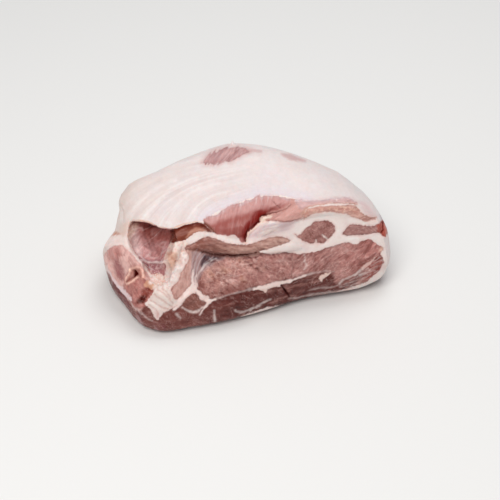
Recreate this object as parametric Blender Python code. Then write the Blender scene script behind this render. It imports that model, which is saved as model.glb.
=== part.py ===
"""A boneless end joint of pork loin, lying on its lean side with its fat cap up.

The joint is a stack of layers that run from its cut front face back to the fat that wraps it: a bottom
muscle on the floor, the deep main muscle, a band of seam fat with three small muscles in it, a thin upper
muscle, and the fat cap over the top, the back and the right-hand end. The cap's free front edge hangs over
the hollow that boning left at the left-hand end.

Frame: metres, X along the joint, -Y the cut front face, +Z up, the origin under the middle.
"""

import math

import bmesh
import bpy
import numpy as np
from mathutils import Matrix

# The joint's outline: one row for each station along X, in metres. A row holds the (y, z) places that its
# section passes through: the foot of the cut face, the middle of the cut face, the front edge of the roof,
# the top of the roof, and the widest point of the back.
STATIONS = {
    -0.104: ((-0.036, 0.015), (-0.026, 0.032), (-0.005, 0.046), (0.008, 0.047), (0.028, 0.022)),
    -0.095: ((-0.058, 0.012), (-0.046, 0.034), (-0.002, 0.058), (0.017, 0.062), (0.041, 0.028)),
    -0.080: ((-0.068, 0.010), (-0.052, 0.036), (-0.008, 0.066), (0.027, 0.073), (0.056, 0.034)),
    -0.058: ((-0.070, 0.012), (-0.055, 0.040), (-0.026, 0.070), (0.023, 0.080), (0.062, 0.036)),
    -0.038: ((-0.071, 0.014), (-0.058, 0.040), (-0.029, 0.074), (0.023, 0.086), (0.067, 0.038)),
    -0.015: ((-0.070, 0.015), (-0.060, 0.040), (-0.038, 0.064), (0.020, 0.093), (0.069, 0.038)),
    0.005: ((-0.068, 0.016), (-0.060, 0.042), (-0.040, 0.070), (0.018, 0.097), (0.069, 0.039)),
    0.034: ((-0.064, 0.016), (-0.059, 0.045), (-0.042, 0.080), (0.007, 0.096), (0.060, 0.037)),
    0.061: ((-0.065, 0.017), (-0.060, 0.046), (-0.042, 0.081), (-0.007, 0.090), (0.043, 0.035)),
    0.085: ((-0.067, 0.019), (-0.060, 0.046), (-0.046, 0.071), (-0.018, 0.080), (0.026, 0.034)),
    0.100: ((-0.065, 0.022), (-0.059, 0.044), (-0.047, 0.062), (-0.024, 0.067), (0.010, 0.033)),
    0.113: ((-0.063, 0.024), (-0.058, 0.042), (-0.047, 0.054), (-0.028, 0.056), (-0.006, 0.032)),
}
LEFT_END, RIGHT_END = -0.111, 0.114
LEFT_ROUNDING, RIGHT_ROUNDING = 0.018, 0.014
END_SQUARENESS = 2.6
FOOT_INSET = 0.016
BACK_INSET = 0.020
END_CENTRE_HEIGHT = 0.030

CAP_THICKNESS = 0.0032
CAP_FOOT = 0.012
CAP_LEFT_END = -0.097
LAYER_GAP = 0.0003
UNDER_CAP_GAP = 0.0006
LAYER_SOLVER = "MANIFOLD"  # the exact solver empties some of the layers

# Where the front edge of the fat cap runs: (y, z) at each x. Left of 0 it is the flap's free edge; at the
# right-hand end it turns down the cut face as a narrow rim.
CAP_EDGE = {
    -0.097: (0.007, 0.060), -0.087: (0.000, 0.064), -0.079: (-0.007, 0.067), -0.073: (-0.013, 0.068),
    -0.068: (-0.019, 0.068), -0.062: (-0.024, 0.069), -0.055: (-0.027, 0.071), -0.046: (-0.028, 0.074),
    -0.038: (-0.029, 0.074), -0.031: (-0.026, 0.075), -0.022: (-0.021, 0.076), -0.011: (-0.019, 0.077),
    0.001: (-0.019, 0.081), 0.012: (-0.021, 0.084), 0.026: (-0.027, 0.086), 0.037: (-0.034, 0.085),
    0.047: (-0.038, 0.084), 0.062: (-0.040, 0.082), 0.080: (-0.037, 0.077), 0.092: (-0.038, 0.070),
    0.099: (-0.043, 0.063), 0.103: (-0.050, 0.056), 0.107: (-0.064, 0.022), 0.116: (-0.064, 0.022),
}
CAP_EDGE_NORMAL = (-0.6, 0.8)
CAP_CORE_Y = -0.025

# Height of each seam along the cut face at each x, and how much it falls for each metre towards the back.
BOTTOM_SEAM = {
    -0.120: 0.012, -0.090: 0.014, -0.075: 0.017, -0.054: 0.018, -0.046: 0.025, -0.025: 0.027, -0.002: 0.0295,
    0.037: 0.030, 0.069: 0.032, 0.082: 0.035, 0.100: 0.037, 0.120: 0.038,
}
LOWER_SEAM = {
    -0.120: 0.080, -0.098: 0.080, -0.090: 0.060, -0.072: 0.058, -0.064: 0.060, -0.054: 0.060, -0.046: 0.058,
    -0.031: 0.055, -0.008: 0.053, 0.018: 0.052, 0.034: 0.050, 0.056: 0.048, 0.068: 0.0505, 0.081: 0.0535,
    0.094: 0.052, 0.120: 0.048,
}
UPPER_SEAM = {
    -0.120: 0.084, -0.098: 0.084, -0.090: 0.0625, -0.072: 0.061, -0.064: 0.0635, -0.054: 0.066, -0.038: 0.070,
    -0.027: 0.067, -0.017: 0.063, -0.007: 0.060, 0.001: 0.064, 0.008: 0.070, 0.018: 0.073, 0.037: 0.0755,
    0.053: 0.076, 0.069: 0.074, 0.086: 0.069, 0.098: 0.061, 0.120: 0.056,
}
SEAM_FALL = {"bottom": -0.10, "lower": -0.13, "upper": -0.14}
CUT_FACE_Y = -0.055
SEAM_FAT_LEFT_END = -0.063

# Rolls and rods: the middle of each at points along it, with its radius there.
LIP_ROLL = [
    ((0.101, -0.045, 0.058), 0.0025), ((0.088, -0.045, 0.067), 0.005), ((0.062, -0.044, 0.078), 0.006),
    ((0.036, -0.043, 0.079), 0.007), ((0.018, -0.041, 0.072), 0.008), ((0.008, -0.041, 0.065), 0.007),
    ((0.001, -0.043, 0.060), 0.003),
]
ROLL_MUSCLE = [
    ((-0.050, -0.043, 0.060), 0.0015), ((-0.041, -0.042, 0.062), 0.0042), ((-0.030, -0.045, 0.060), 0.0048),
    ((-0.018, -0.048, 0.0565), 0.0042), ((-0.007, -0.051, 0.056), 0.0035), ((0.006, -0.053, 0.0575), 0.0050),
    ((0.018, -0.054, 0.058), 0.0058), ((0.027, -0.055, 0.0565), 0.0045), ((0.035, -0.056, 0.054), 0.0015),
]
CLEFT = [
    ((-0.009, -0.048, 0.058), 0.004), ((-0.002, -0.041, 0.065), 0.011), ((0.006, -0.037, 0.070), 0.014),
    ((0.014, -0.035, 0.075), 0.014), ((0.023, -0.036, 0.080), 0.011), ((0.034, -0.037, 0.086), 0.004),
]
CLEFT_MOUTH = 0.0035
FAT_RIDGE = [
    ((-0.052, -0.036, 0.064), 0.002), ((-0.057, -0.037, 0.061), 0.004), ((-0.062, -0.039, 0.057), 0.005),
    ((-0.066, -0.043, 0.050), 0.0045), ((-0.068, -0.048, 0.043), 0.0035), ((-0.068, -0.053, 0.037), 0.0015),
]
MUSCLE_CREASE = [
    ((-0.045, -0.044, 0.060), 0.001), ((-0.0465, -0.049, 0.052), 0.0022), ((-0.048, -0.056, 0.041), 0.002),
    ((-0.046, -0.063, 0.032), 0.0018), ((-0.039, -0.069, 0.025), 0.001),
]
EYE = {"centre": (0.048, 0.0635), "half_width": 0.0155, "half_height": 0.0082, "lean": -4}
FLAT = {"centre": (0.089, 0.0575), "half_width": 0.0185, "half_height": 0.0044, "lean": 9}
ROD_FRONT, ROD_BACK = -0.080, 0.080
ROD_RISE = -0.14

BELLY = {"centre": (0.000, -0.023, 0.066), "radii": (0.038, 0.020, 0.013), "turn": (0, -12, 0)}
WEDGE = {"centre": (-0.0905, -0.0225, 0.0325), "radii": (0.0105, 0.0345, 0.0195), "turn": (7, -14, 28)}
TENDON = {"centre": (-0.0755, -0.0555, 0.028), "radii": (0.013, 0.0065, 0.010), "turn": (0, 12, -28)}
OVAL_MUSCLE = {"centre": (-0.0535, -0.0605, 0.0265), "radii": (0.010, 0.0055, 0.0062), "turn": (0, 10, 8)}
HOLLOW = {"centre": (-0.0745, -0.0180, 0.0585), "radii": (0.0195, 0.0270, 0.0175), "turn": (0, 0, 14)}
HOLLOW_MOUTH = {"centre": (-0.0760, -0.0425, 0.0455), "radii": (0.0095, 0.015, 0.0125), "turn": (0, 14, 24)}

RINGS, POINTS_PER_SPAN = 35, 5
ROLL_SIDES = 12
ROD_SIDES = 28
SEAM_DEPTHS = (-0.100, -0.060, -0.030, 0.000, 0.030, 0.060, 0.100)


def catmull(a, b, c, d, t):
    """A point on the smooth curve through b and c, with a and d as the neighbours."""
    return 0.5 * (2 * b + (c - a) * t + (2 * a - 5 * b + 4 * c - d) * t**2 + (3 * b - a - 3 * c + d) * t**3)


def along(table, x):
    """The table's value at x, on a smooth curve through its rows."""
    xs = sorted(table)
    rows = [np.array(table[s], dtype=float) for s in xs]
    i = int(np.clip(np.searchsorted(xs, x) - 1, 0, len(xs) - 2))
    t = float(np.clip((x - xs[i]) / (xs[i + 1] - xs[i]), 0, 1))
    return catmull(rows[max(i - 1, 0)], rows[i], rows[i + 1], rows[min(i + 2, len(xs) - 1)], t)


def section(x):
    """The closed (y, z) outline of the joint at x, from the foot round over the roof to the back."""
    foot, middle, edge, top, back = along(STATIONS, x)
    floor_front = np.array([foot[0] + FOOT_INSET, 0])
    floor_back = np.array([back[0] - BACK_INSET, 0])
    shoulder = np.array([0.35 * top[0] + 0.65 * back[0], 0.80 * top[1] + 0.20 * back[1]])
    places = [floor_front, foot, middle, edge, top, shoulder, back, floor_back]
    outline = []
    for i in range(len(places)):
        a, b, c, d = (places[(i + k - 1) % len(places)] for k in range(4))
        outline += [catmull(a, b, c, d, k / POINTS_PER_SPAN) for k in range(POINTS_PER_SPAN)]
    outline = np.array(outline)
    outline[:, 1] = np.maximum(outline[:, 1], 0)
    return outline


def end_scale(x, inset):
    """How far the section has drawn in at x, from 1 along the joint to 0 at its two tips."""
    past_left = (LEFT_END + inset + LEFT_ROUNDING - x) / LEFT_ROUNDING
    past_right = (x - RIGHT_END + inset + RIGHT_ROUNDING) / RIGHT_ROUNDING
    t = min(1, max(past_left, past_right, 0))
    return (1 - t**END_SQUARENESS) ** (1 / END_SQUARENESS)


def ring(x, inset):
    """One ring of the joint's skin, drawn in by inset all round."""
    outline = section(x)
    along_outline = np.roll(outline, -1, axis=0) - np.roll(outline, 1, axis=0)
    inward = np.stack([-along_outline[:, 1], along_outline[:, 0]], axis=1)
    inward /= np.linalg.norm(inward, axis=1)[:, None]
    if np.sum(inward * (outline.mean(axis=0) - outline)) < 0:
        inward = -inward
    outline = outline + inward * inset
    centre = np.array([outline[:, 0].mean(), END_CENTRE_HEIGHT])
    return [(x, *(centre + (p - centre) * end_scale(x, inset))) for p in outline]


def ring_places(inset):
    """X of each ring, closer together towards the two ends."""
    middle, half = (LEFT_END + RIGHT_END) / 2, (RIGHT_END - LEFT_END) / 2 - inset
    return [middle - half * math.cos(math.pi * (i + 0.35) / (RINGS - 0.3)) for i in range(RINGS)]


def loft(name, rings):
    """A closed solid through rings of points, with a face across each end."""
    bm = bmesh.new()
    rows = [[bm.verts.new(p) for p in points] for points in rings]
    for a, b in zip(rows, rows[1:]):
        for i in range(len(a)):
            j = (i + 1) % len(a)
            bm.faces.new((a[i], a[j], b[j], b[i]))
    bm.faces.new(rows[0])
    bm.faces.new(rows[-1])
    bmesh.ops.recalc_face_normals(bm, faces=bm.faces)
    return add_object(name, bm)


def add_object(name, bm):
    mesh = bpy.data.meshes.new(name)
    bm.to_mesh(mesh)
    bm.free()
    obj = bpy.data.objects.new(name, mesh)
    bpy.context.scene.collection.objects.link(obj)
    return obj


def joint_skin(name, inset=0.0):
    return loft(name, [ring(x, inset) for x in ring_places(inset)])


def ellipsoid(name, shape, fineness=3):
    bm = bmesh.new()
    bmesh.ops.create_icosphere(bm, subdivisions=fineness, radius=1)
    scale = Matrix.Diagonal((*shape["radii"], 1))
    turn = Matrix.Identity(4)
    for angle, axis in zip(shape["turn"], "XYZ"):
        turn = Matrix.Rotation(math.radians(angle), 4, axis) @ turn
    bmesh.ops.transform(bm, matrix=Matrix.Translation(shape["centre"]) @ turn @ scale, verts=bm.verts)
    return add_object(name, bm)


def smooth_path(path, steps):
    """Points, radii and directions along a smooth curve through the path's places."""
    rows = [np.array([*p, r]) for p, r in path]
    out = []
    for i in range(len(rows) - 1):
        a, d = rows[max(i - 1, 0)], rows[min(i + 2, len(rows) - 1)]
        out += [catmull(a, rows[i], rows[i + 1], d, k / steps) for k in range(steps)]
    out = np.array(out + [rows[-1]])
    return out[:, :3], out[:, 3], np.gradient(out[:, :3], axis=0)


def roll(name, path, grow=0.0, steps=3):
    """A solid roll of changing radius along a smooth path."""
    rings = []
    for point, radius, direction in zip(*smooth_path(path, steps)):
        side = np.cross(direction, (0, 0, 1.0))
        side /= np.linalg.norm(side)
        up = np.cross(side, direction)
        up /= np.linalg.norm(up)
        turns = [math.tau * k / ROLL_SIDES for k in range(ROLL_SIDES)]
        rings.append([point + (radius + grow) * (math.cos(t) * side + math.sin(t) * up) for t in turns])
    return loft(name, rings)


def rod(name, shape, grow=0.0):
    """An oval rod from in front of the cut face to behind the joint."""
    lean = math.radians(-shape["lean"])
    rings = []
    for y in (ROD_FRONT, ROD_BACK):
        points = []
        for k in range(ROD_SIDES):
            t = math.tau * k / ROD_SIDES
            u, v = (shape["half_width"] + grow) * math.cos(t), (shape["half_height"] + grow) * math.sin(t)
            x = shape["centre"][0] + u * math.cos(lean) - v * math.sin(lean)
            z = shape["centre"][1] + u * math.sin(lean) + v * math.cos(lean) + ROD_RISE * (y - CUT_FACE_Y)
            points.append((x, y, z))
        rings.append(points)
    return loft(name, rings)


def cleft_blade(name):
    """A wedge that narrows from the mouth of the cleft to its deep edge."""
    rings = []
    for point, depth, direction in zip(*smooth_path(CLEFT, 3)):
        inward = np.array([0.0, 0.95, -0.30])
        across = np.cross(direction, inward)
        across *= CLEFT_MOUTH / 2 / np.linalg.norm(across)
        front, deep = point - inward * 0.010, point + inward * depth
        rings.append([front - across * 1.6, front + across * 1.6, deep + across * 0.3, deep - across * 0.3])
    return loft(name, rings)


def cap_region(name, grow=0.0):
    """The space above and behind the sheet through the cap's front edge."""
    outward = np.array(CAP_EDGE_NORMAL)
    rings = []
    for x in [CAP_LEFT_END - grow, *sorted(CAP_EDGE)[1:]]:
        edge = along(CAP_EDGE, x) + grow * np.array([-outward[1], -abs(outward[0])])
        near, far = edge + outward * 0.030, edge - outward * 0.010
        foot = CAP_FOOT - grow
        corners = (near, far, (CAP_CORE_Y, foot), (0.120, foot), (0.120, 0.140), (near[0], 0.140))
        rings.append([(x, *corner) for corner in corners])
    return loft(name, rings)


def seam_height(table, fall, x, y):
    return float(along(table, x)) + fall * (y - CUT_FACE_Y)


def layer_block(name, below, above, left, right=0.119):
    """The space between two seams; a seam of None leaves that side open."""
    rings = []
    places = sorted({left, right, *(x for x in UPPER_SEAM if left < x < right),
                     *(x for x in LOWER_SEAM if left < x < right)})
    for x in places:
        low = [(x, y, seam_height(*below, x, y) + LAYER_GAP / 2 if below else -0.020) for y in SEAM_DEPTHS]
        high = [(x, y, seam_height(*above, x, y) - LAYER_GAP / 2 if above else 0.150) for y in SEAM_DEPTHS]
        rings.append(low + high[::-1])
    return loft(name, rings)


def boolean(obj, operation, tool, solver="EXACT"):
    """Apply one Boolean to the object's own mesh and take the tool away."""
    modifier = obj.modifiers.new(operation.lower(), "BOOLEAN")
    modifier.operation, modifier.object, modifier.solver = operation, tool, solver
    evaluated = obj.evaluated_get(bpy.context.evaluated_depsgraph_get())
    mesh = bpy.data.meshes.new_from_object(evaluated)
    obj.modifiers.clear()
    obj.data = mesh
    bpy.data.objects.remove(tool)
    return obj


def copy_of(obj, name):
    twin = bpy.data.objects.new(name, obj.data.copy())
    bpy.context.scene.collection.objects.link(twin)
    return twin


def layer(name, below, above, left=-0.119):
    """The part of the meat between two seams."""
    obj = bpy.data.objects.new(name, meat.data.copy())
    bpy.context.scene.collection.objects.link(obj)
    return boolean(obj, "INTERSECT", layer_block("space", below, above, left), solver=LAYER_SOLVER)


def keep_largest(obj):
    """Drop the scraps a cut leaves beside the solid, and the slivers along its edges."""
    bm = bmesh.new()
    bm.from_mesh(obj.data)
    bmesh.ops.remove_doubles(bm, verts=bm.verts, dist=0.00001)
    bmesh.ops.dissolve_degenerate(bm, edges=bm.edges, dist=0.00001)
    left, islands = set(bm.verts), []
    while left:
        front, island = [left.pop()], []
        while front:
            vert = front.pop()
            island.append(vert)
            for edge in vert.link_edges:
                other = edge.other_vert(vert)
                if other in left:
                    left.remove(other)
                    front.append(other)
        islands.append(island)
    islands.sort(key=len)
    for island in islands[:-1]:
        bmesh.ops.delete(bm, geom=island, context="VERTS")
    bm.to_mesh(obj.data)
    bm.free()


def finish(obj, colour, roughness=0.5):
    """Tidy the node, give it its own material and put it in the joint's collection."""
    keep_largest(obj)
    obj.data.name = obj.name
    material = bpy.data.materials.new(obj.name)
    material.use_nodes = True
    shader = material.node_tree.nodes["Principled BSDF"]
    shader.inputs["Base Color"].default_value = (*colour, 1)
    shader.inputs["Roughness"].default_value = roughness
    obj.data.materials.clear()
    obj.data.materials.append(material)
    bpy.context.scene.collection.objects.unlink(obj)
    parts.objects.link(obj)


for old in list(bpy.data.objects):
    bpy.data.objects.remove(old)
parts = bpy.data.collections.new("pork_loin_end")
bpy.context.scene.collection.children.link(parts)

# The fat cap is the joint's own skin where the cap reaches, hollowed out from the inside.
fat_cap = joint_skin("fat_cap")
boolean(fat_cap, "INTERSECT", cap_region("cap_reach"))
boolean(fat_cap, "DIFFERENCE", joint_skin("cap_inside", CAP_THICKNESS))
finish(fat_cap, (0.86, 0.78, 0.74))

# The meat is the same skin with its swellings, less the room for the cap.
meat = joint_skin("meat")
boolean(meat, "UNION", ellipsoid("belly", BELLY))
boolean(meat, "UNION", ellipsoid("wedge", WEDGE))
boolean(meat, "UNION", ellipsoid("tendon", TENDON, fineness=2))
boolean(meat, "UNION", ellipsoid("oval_muscle", OVAL_MUSCLE, fineness=2))
boolean(meat, "UNION", roll("lip", LIP_ROLL))
boolean(meat, "UNION", roll("fat_ridge", FAT_RIDGE))
cap_room = cap_region("cap_room", UNDER_CAP_GAP)
boolean(cap_room, "DIFFERENCE", joint_skin("under_cap", CAP_THICKNESS + UNDER_CAP_GAP))
boolean(meat, "DIFFERENCE", cap_room)

bottom_seam = (BOTTOM_SEAM, SEAM_FALL["bottom"])
lower_seam = (LOWER_SEAM, SEAM_FALL["lower"])
upper_seam = (UPPER_SEAM, SEAM_FALL["upper"])

bottom_muscle = layer("bottom_muscle", None, bottom_seam)
main_muscle = layer("main_muscle", bottom_seam, lower_seam)
upper_muscle = layer("upper_muscle", upper_seam, None)
seam_fat = layer("seam_fat", lower_seam, upper_seam, left=SEAM_FAT_LEFT_END)

for muscle in (bottom_muscle, main_muscle):
    boolean(muscle, "DIFFERENCE", roll("muscle_crease", MUSCLE_CREASE), LAYER_SOLVER)
for muscle in (main_muscle, seam_fat, upper_muscle):
    boolean(muscle, "DIFFERENCE", ellipsoid("hollow", HOLLOW), LAYER_SOLVER)
    boolean(muscle, "DIFFERENCE", ellipsoid("hollow_mouth", HOLLOW_MOUTH), LAYER_SOLVER)
for muscle in (seam_fat, upper_muscle):
    boolean(muscle, "DIFFERENCE", cleft_blade("cleft"), LAYER_SOLVER)

eye_muscle, flat_muscle = copy_of(seam_fat, "eye_muscle"), copy_of(seam_fat, "flat_muscle")
for muscle, shape in ((eye_muscle, EYE), (flat_muscle, FLAT)):
    boolean(muscle, "INTERSECT", rod("muscle_rod", shape), LAYER_SOLVER)
    boolean(seam_fat, "DIFFERENCE", rod("muscle_room", shape, LAYER_GAP), LAYER_SOLVER)

roll_muscle = roll("roll_muscle", ROLL_MUSCLE)
for muscle in (main_muscle, seam_fat, upper_muscle):
    boolean(muscle, "DIFFERENCE", roll("roll_room", ROLL_MUSCLE, LAYER_GAP), LAYER_SOLVER)

finish(bottom_muscle, (0.22, 0.075, 0.06))
finish(main_muscle, (0.42, 0.19, 0.17))
finish(upper_muscle, (0.62, 0.31, 0.28))
finish(seam_fat, (0.78, 0.66, 0.60))
finish(eye_muscle, (0.42, 0.21, 0.18))
finish(flat_muscle, (0.38, 0.19, 0.16))
finish(roll_muscle, (0.44, 0.24, 0.19))
bpy.data.objects.remove(meat)

# Bring the origin under the middle of the whole joint.
corners = np.array([v.co for obj in parts.objects for v in obj.data.vertices])
middle = (corners.min(axis=0) + corners.max(axis=0)) / 2
for obj in parts.objects:
    obj.data.transform(Matrix.Translation((-middle[0], -middle[1], 0)))
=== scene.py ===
"""Looks of the pork loin end: one skin of meat and fat over the solids, with threads and crumbs of fat."""

import math

import bmesh
import bpy
import numpy as np
from mathutils import Matrix, Vector
from mathutils.bvhtree import BVHTree


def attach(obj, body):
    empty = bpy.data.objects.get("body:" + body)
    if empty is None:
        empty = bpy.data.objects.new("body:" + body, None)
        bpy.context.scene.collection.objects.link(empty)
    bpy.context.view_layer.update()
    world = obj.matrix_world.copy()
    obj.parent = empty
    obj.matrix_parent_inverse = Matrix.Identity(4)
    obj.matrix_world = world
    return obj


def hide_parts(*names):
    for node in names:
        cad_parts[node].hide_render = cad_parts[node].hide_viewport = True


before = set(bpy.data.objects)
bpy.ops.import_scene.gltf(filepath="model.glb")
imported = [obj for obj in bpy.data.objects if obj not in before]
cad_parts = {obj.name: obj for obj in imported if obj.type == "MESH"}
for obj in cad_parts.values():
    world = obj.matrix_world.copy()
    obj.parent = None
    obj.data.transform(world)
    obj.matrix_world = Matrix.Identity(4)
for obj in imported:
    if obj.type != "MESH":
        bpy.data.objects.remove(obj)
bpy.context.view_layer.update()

MM = 0.001
BODY = "root"
NODES = sorted(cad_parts)

# ==== The show side. Outlines of the muscles and seams are drawn on a chart, which is what the show camera
# sees in a frame of 500 by 500 units. One unit is about 0.83 mm on the cut face.
CAMERA_PLACE = np.array((-0.20276, -0.75208, 0.63636))
CAMERA_AZIMUTH = -15.665
CAMERA_ELEVATION = 38.533
CAMERA_LENS = 86.96
CAMERA_SENSOR = 36.0
CHART_SIDE = 500.0


def camera_axes():
    """Right, up and back of the show camera, as rows."""
    a, e = math.radians(CAMERA_AZIMUTH), math.radians(CAMERA_ELEVATION)
    back = np.array((math.sin(a) * math.cos(e), -math.cos(a) * math.cos(e), math.sin(e)))
    right = np.array((math.cos(a), math.sin(a), 0.0))
    return np.stack((right, np.cross(back, right), back))


AXES = camera_axes()
CHART_SCALE = CAMERA_LENS / CAMERA_SENSOR * CHART_SIDE


def chart_of(points):
    """Places on the chart (across, down) of points in space."""
    seen = (points - CAMERA_PLACE) @ AXES.T
    across = CHART_SIDE / 2 + CHART_SCALE * seen[:, 0] / -seen[:, 2]
    down = CHART_SIDE / 2 - CHART_SCALE * seen[:, 1] / -seen[:, 2]
    return np.stack((across, down), axis=1)


def sight_line(across, down):
    """Unit direction from the camera through a place on the chart."""
    line = np.array((across - CHART_SIDE / 2, CHART_SIDE / 2 - down, -CHART_SCALE)) @ AXES
    return line / np.linalg.norm(line)


# Free edge of the fat flap over the hollow, from the left end to its root on the belly muscle.
FLAP_EDGE = [
    (112, 232), (116, 226), (126, 224), (133, 222), (140, 221), (146, 222), (151, 223.5), (155, 227),
    (162, 228), (171, 229.5), (176, 227.5), (183, 224.6), (191, 223.5), (197, 222.3), (204, 225),
    (210, 230.2), (218, 235),
]
# Lean that shows through the fat cap near its crown, and its fading tail.
CROWN_PATCH = [
    (202, 163), (206, 156), (215, 150.5), (228, 147), (240, 147), (251, 149.5), (251, 153), (243, 156),
    (236, 160), (230, 162), (225, 161), (218, 164.5), (209, 165),
]
CROWN_TAIL = [(249, 150.5), (255, 151), (261, 151.5)]
FAR_PATCH = [(281, 153.5), (290, 154.5), (298, 157.5), (306, 161.5), (296, 160.8), (287, 158.5)]
# The upper muscle bared under the cap: pink at the feathered fat, red further down, split by the deep cleft.
BELLY = [
    (203, 221), (207, 217), (213, 214.5), (218, 212), (223, 209.5), (230, 205), (238, 203), (245, 199),
    (254, 197), (260, 195), (270, 195.5), (280, 195.5), (290, 197), (298, 199.2), (305, 201.5),
    (298, 203.5), (290, 206.5), (284, 209.5), (278, 212.7), (270, 214.3), (263, 215), (260.5, 217.5),
    (260, 221), (254, 225.5), (249, 230), (246.5, 235), (245.5, 241.5), (241, 242), (238, 238), (234, 235),
    (226, 235.8), (217, 234.5), (211, 230.5), (206, 226),
]
BELLY_TOP = BELLY[:15]
BELLY_RED = [
    (209, 226), (213, 223.5), (220, 221), (230, 218), (240, 215), (250, 212), (258, 209), (268, 207.3),
    (280, 206.5), (292, 203.5), (298, 202), (290, 207), (280, 212), (266, 215), (260, 219), (252, 227),
    (247, 234), (246, 242), (238, 238), (226, 236), (215, 234),
]
# The cleft: red muscle in the fold, painted dark as its shade.
CLEFT = [
    (244, 233.5), (246.2, 227.8), (249.2, 224.3), (252.2, 220.6), (254.7, 217), (257, 213.8), (260, 212.8),
    (264, 213.2), (262, 215.6), (260, 218), (260, 221.4), (256.5, 224.8), (252.2, 228.3), (247.9, 232.4),
    (245.6, 237),
]
CLEFT_LINE = [
    (245.2, 240.5), (245, 236.2), (247.4, 231.8), (251.8, 227.9), (256.2, 224.5), (259.8, 221.6),
    (259.8, 218), (262, 215.2), (266, 214), (271.5, 213.4), (277, 211.9), (281.5, 210.2), (285.6, 208.6),
    (289, 206.2), (291, 204),
]
# The lip's rolled edge, where a painted highlight runs.
LIP_EDGE = [(246.4, 241.5), (246.6, 236.6), (248.9, 232.7), (253.1, 229), (257.6, 225.7), (261.5, 222.8)]
# The narrow slit between the belly and the lip, which the skin fills up to a shallow groove.
SLIT = [
    (246.5, 238), (248.5, 233), (252, 228.6), (257, 222.6), (262, 217), (268, 210.6), (274, 207),
    (281, 204), (288, 202),
]
LIP = [
    (262, 216), (268, 215.2), (276, 213.2), (282, 210.8), (286, 208.9), (289.4, 206.3), (292.3, 203),
    (293.6, 199.8), (300, 200), (308, 201.4), (318, 202.4), (324, 204.2), (314, 206), (307.5, 208.8),
    (304, 213), (303, 218), (296, 220.6), (285, 221.8), (274, 221), (266, 220.8), (261, 221.5),
]
LIP_KNOB = [
    (260.6, 221.5), (260.6, 218.2), (263.3, 215.8), (266.5, 215.9), (269.3, 215.3), (273, 216.2),
    (271, 218.3), (267, 218.6), (265, 220.6), (262.5, 222),
]
# Band of salmon meat above the seam fat, and the thin pink fringe between it and the cap.
SALMON_BAND = [
    (303, 214), (306, 210.5), (311, 208), (318, 206.3), (330, 205.5), (342, 205), (352, 204.8), (357, 207),
    (361, 211.5), (366, 215.5), (372, 217.5), (377, 216), (376, 219.5), (372, 221.5), (365, 221.5),
    (359, 219.2), (353, 217), (347, 214.8), (340, 213.5), (330, 211.9), (321, 212.4), (313, 214.5),
    (307, 218.2), (303.5, 220),
]
SALMON_CORE = [
    (305, 214.5), (309, 211.8), (315, 209.7), (325, 208.8), (340, 208.7), (350, 209.7), (357, 213),
]
CAP_FRINGE = [
    (298, 199.8), (308, 200.2), (318, 200), (326, 199), (334, 197.8), (345, 197.2), (353, 198.6),
    (358, 202.5), (357, 205.6), (352, 204), (340, 203.6), (324, 204.4), (312, 206.2), (305, 208),
    (300, 205),
]
CREAM_LINE = [
    (303, 213.5), (306, 210), (311, 207.3), (318, 205.6), (330, 204.8), (342, 204.2), (352, 204.2),
    (357.5, 207), (362, 212), (367, 215.6), (372.5, 217),
]
CAP_BLUSH = [(361, 201), (368, 205), (374, 212), (375, 216.5), (370, 217), (364, 212), (360, 205)]
# Lilac streaks in the seam fat, and the zone that they lie in.
LILAC_ZONE = [(247, 236), (256, 226), (275, 221), (300, 220), (296, 232), (280, 233), (262, 239)]
LILAC_LINES = [
    [(256, 234), (266, 229.5), (279, 226.4)], [(262, 236.5), (274, 231.5), (289, 229)],
    [(268, 226), (277, 223.8), (291, 224.6)], [(252, 237.4), (258, 232), (267, 226.6)],
]
# Muscles cut across in the seam fat, thin notches of fat in the first, and a small vessel at the right rim.
EYE_MUSCLE = [
    (294.5, 234), (298, 235.2), (302, 233), (304.5, 229), (309, 225.8), (314, 221.8), (320, 220.6),
    (328, 221), (333, 223.5), (335.6, 229), (334, 234), (330, 238.3), (327, 241.5), (323, 243.8),
    (317, 243), (310, 243.3), (304, 241.2), (298, 238),
]
FLAT_MUSCLE = [
    (342.5, 234.3), (345, 230), (348, 226.3), (352, 224.4), (360, 224.4), (368, 225.6), (374, 226),
    (379, 223.5), (384, 222), (386, 227), (386.3, 233), (384, 235.6), (379, 233.4), (372, 233.6),
    (363, 234.8), (353, 235.6), (346, 235.8),
]
EYE_NOTCHES = [[(316, 245), (316.4, 242), (316.2, 239.5)], [(322.5, 235), (325, 237.5), (328.5, 240.5)]]
VESSEL_ZONE = [
    (379.5, 223), (384, 219.5), (387.5, 225), (387.5, 233), (385, 237.5), (380.5, 234.5), (379.5, 229),
]
VESSEL_LINE = [(383.4, 221.3), (383, 225), (383.2, 229), (382.2, 232.6)]
VESSEL_SHADE = [(380, 225), (380, 234)]
VEIN_LINE = [(380.8, 215.6), (382.4, 219)]
# Balls joined to the skin: place on the chart, radius and how far sunk, in millimetres.
LUMPS = [
    (232.6, 145.4, 2.2, 0.6), (120.5, 199, 1.5, 0.5), (119.5, 203.6, 1.7, 0.5), (119.8, 208.6, 1.6, 0.5),
    (121, 194.4, 1.3, 0.4), (264.4, 217.4, 2.2, 0.9), (172.4, 166.2, 1.2, 0.3),
]
# Rows of balls that make the hollow's left wall a slope: place across, then radius and rise in millimetres.
HOLLOW_FILL = [(131.5, 4.5, -0.5), (135.5, 5.5, 1.6), (140, 5.5, 0.8), (145, 5.0, -1.6)]
FILL_ROWS = (227.0, 256.0, 3.0)
FILL_TURN = 238.0
FILL_SLANT = 0.5
CROWN_NUB = (232.8, 145.0)
NUB_BALLS = ((1.6, 1.7), (3.0, 1.2), (4.2, 0.8))  # how far up, and radius, in millimetres
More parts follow.
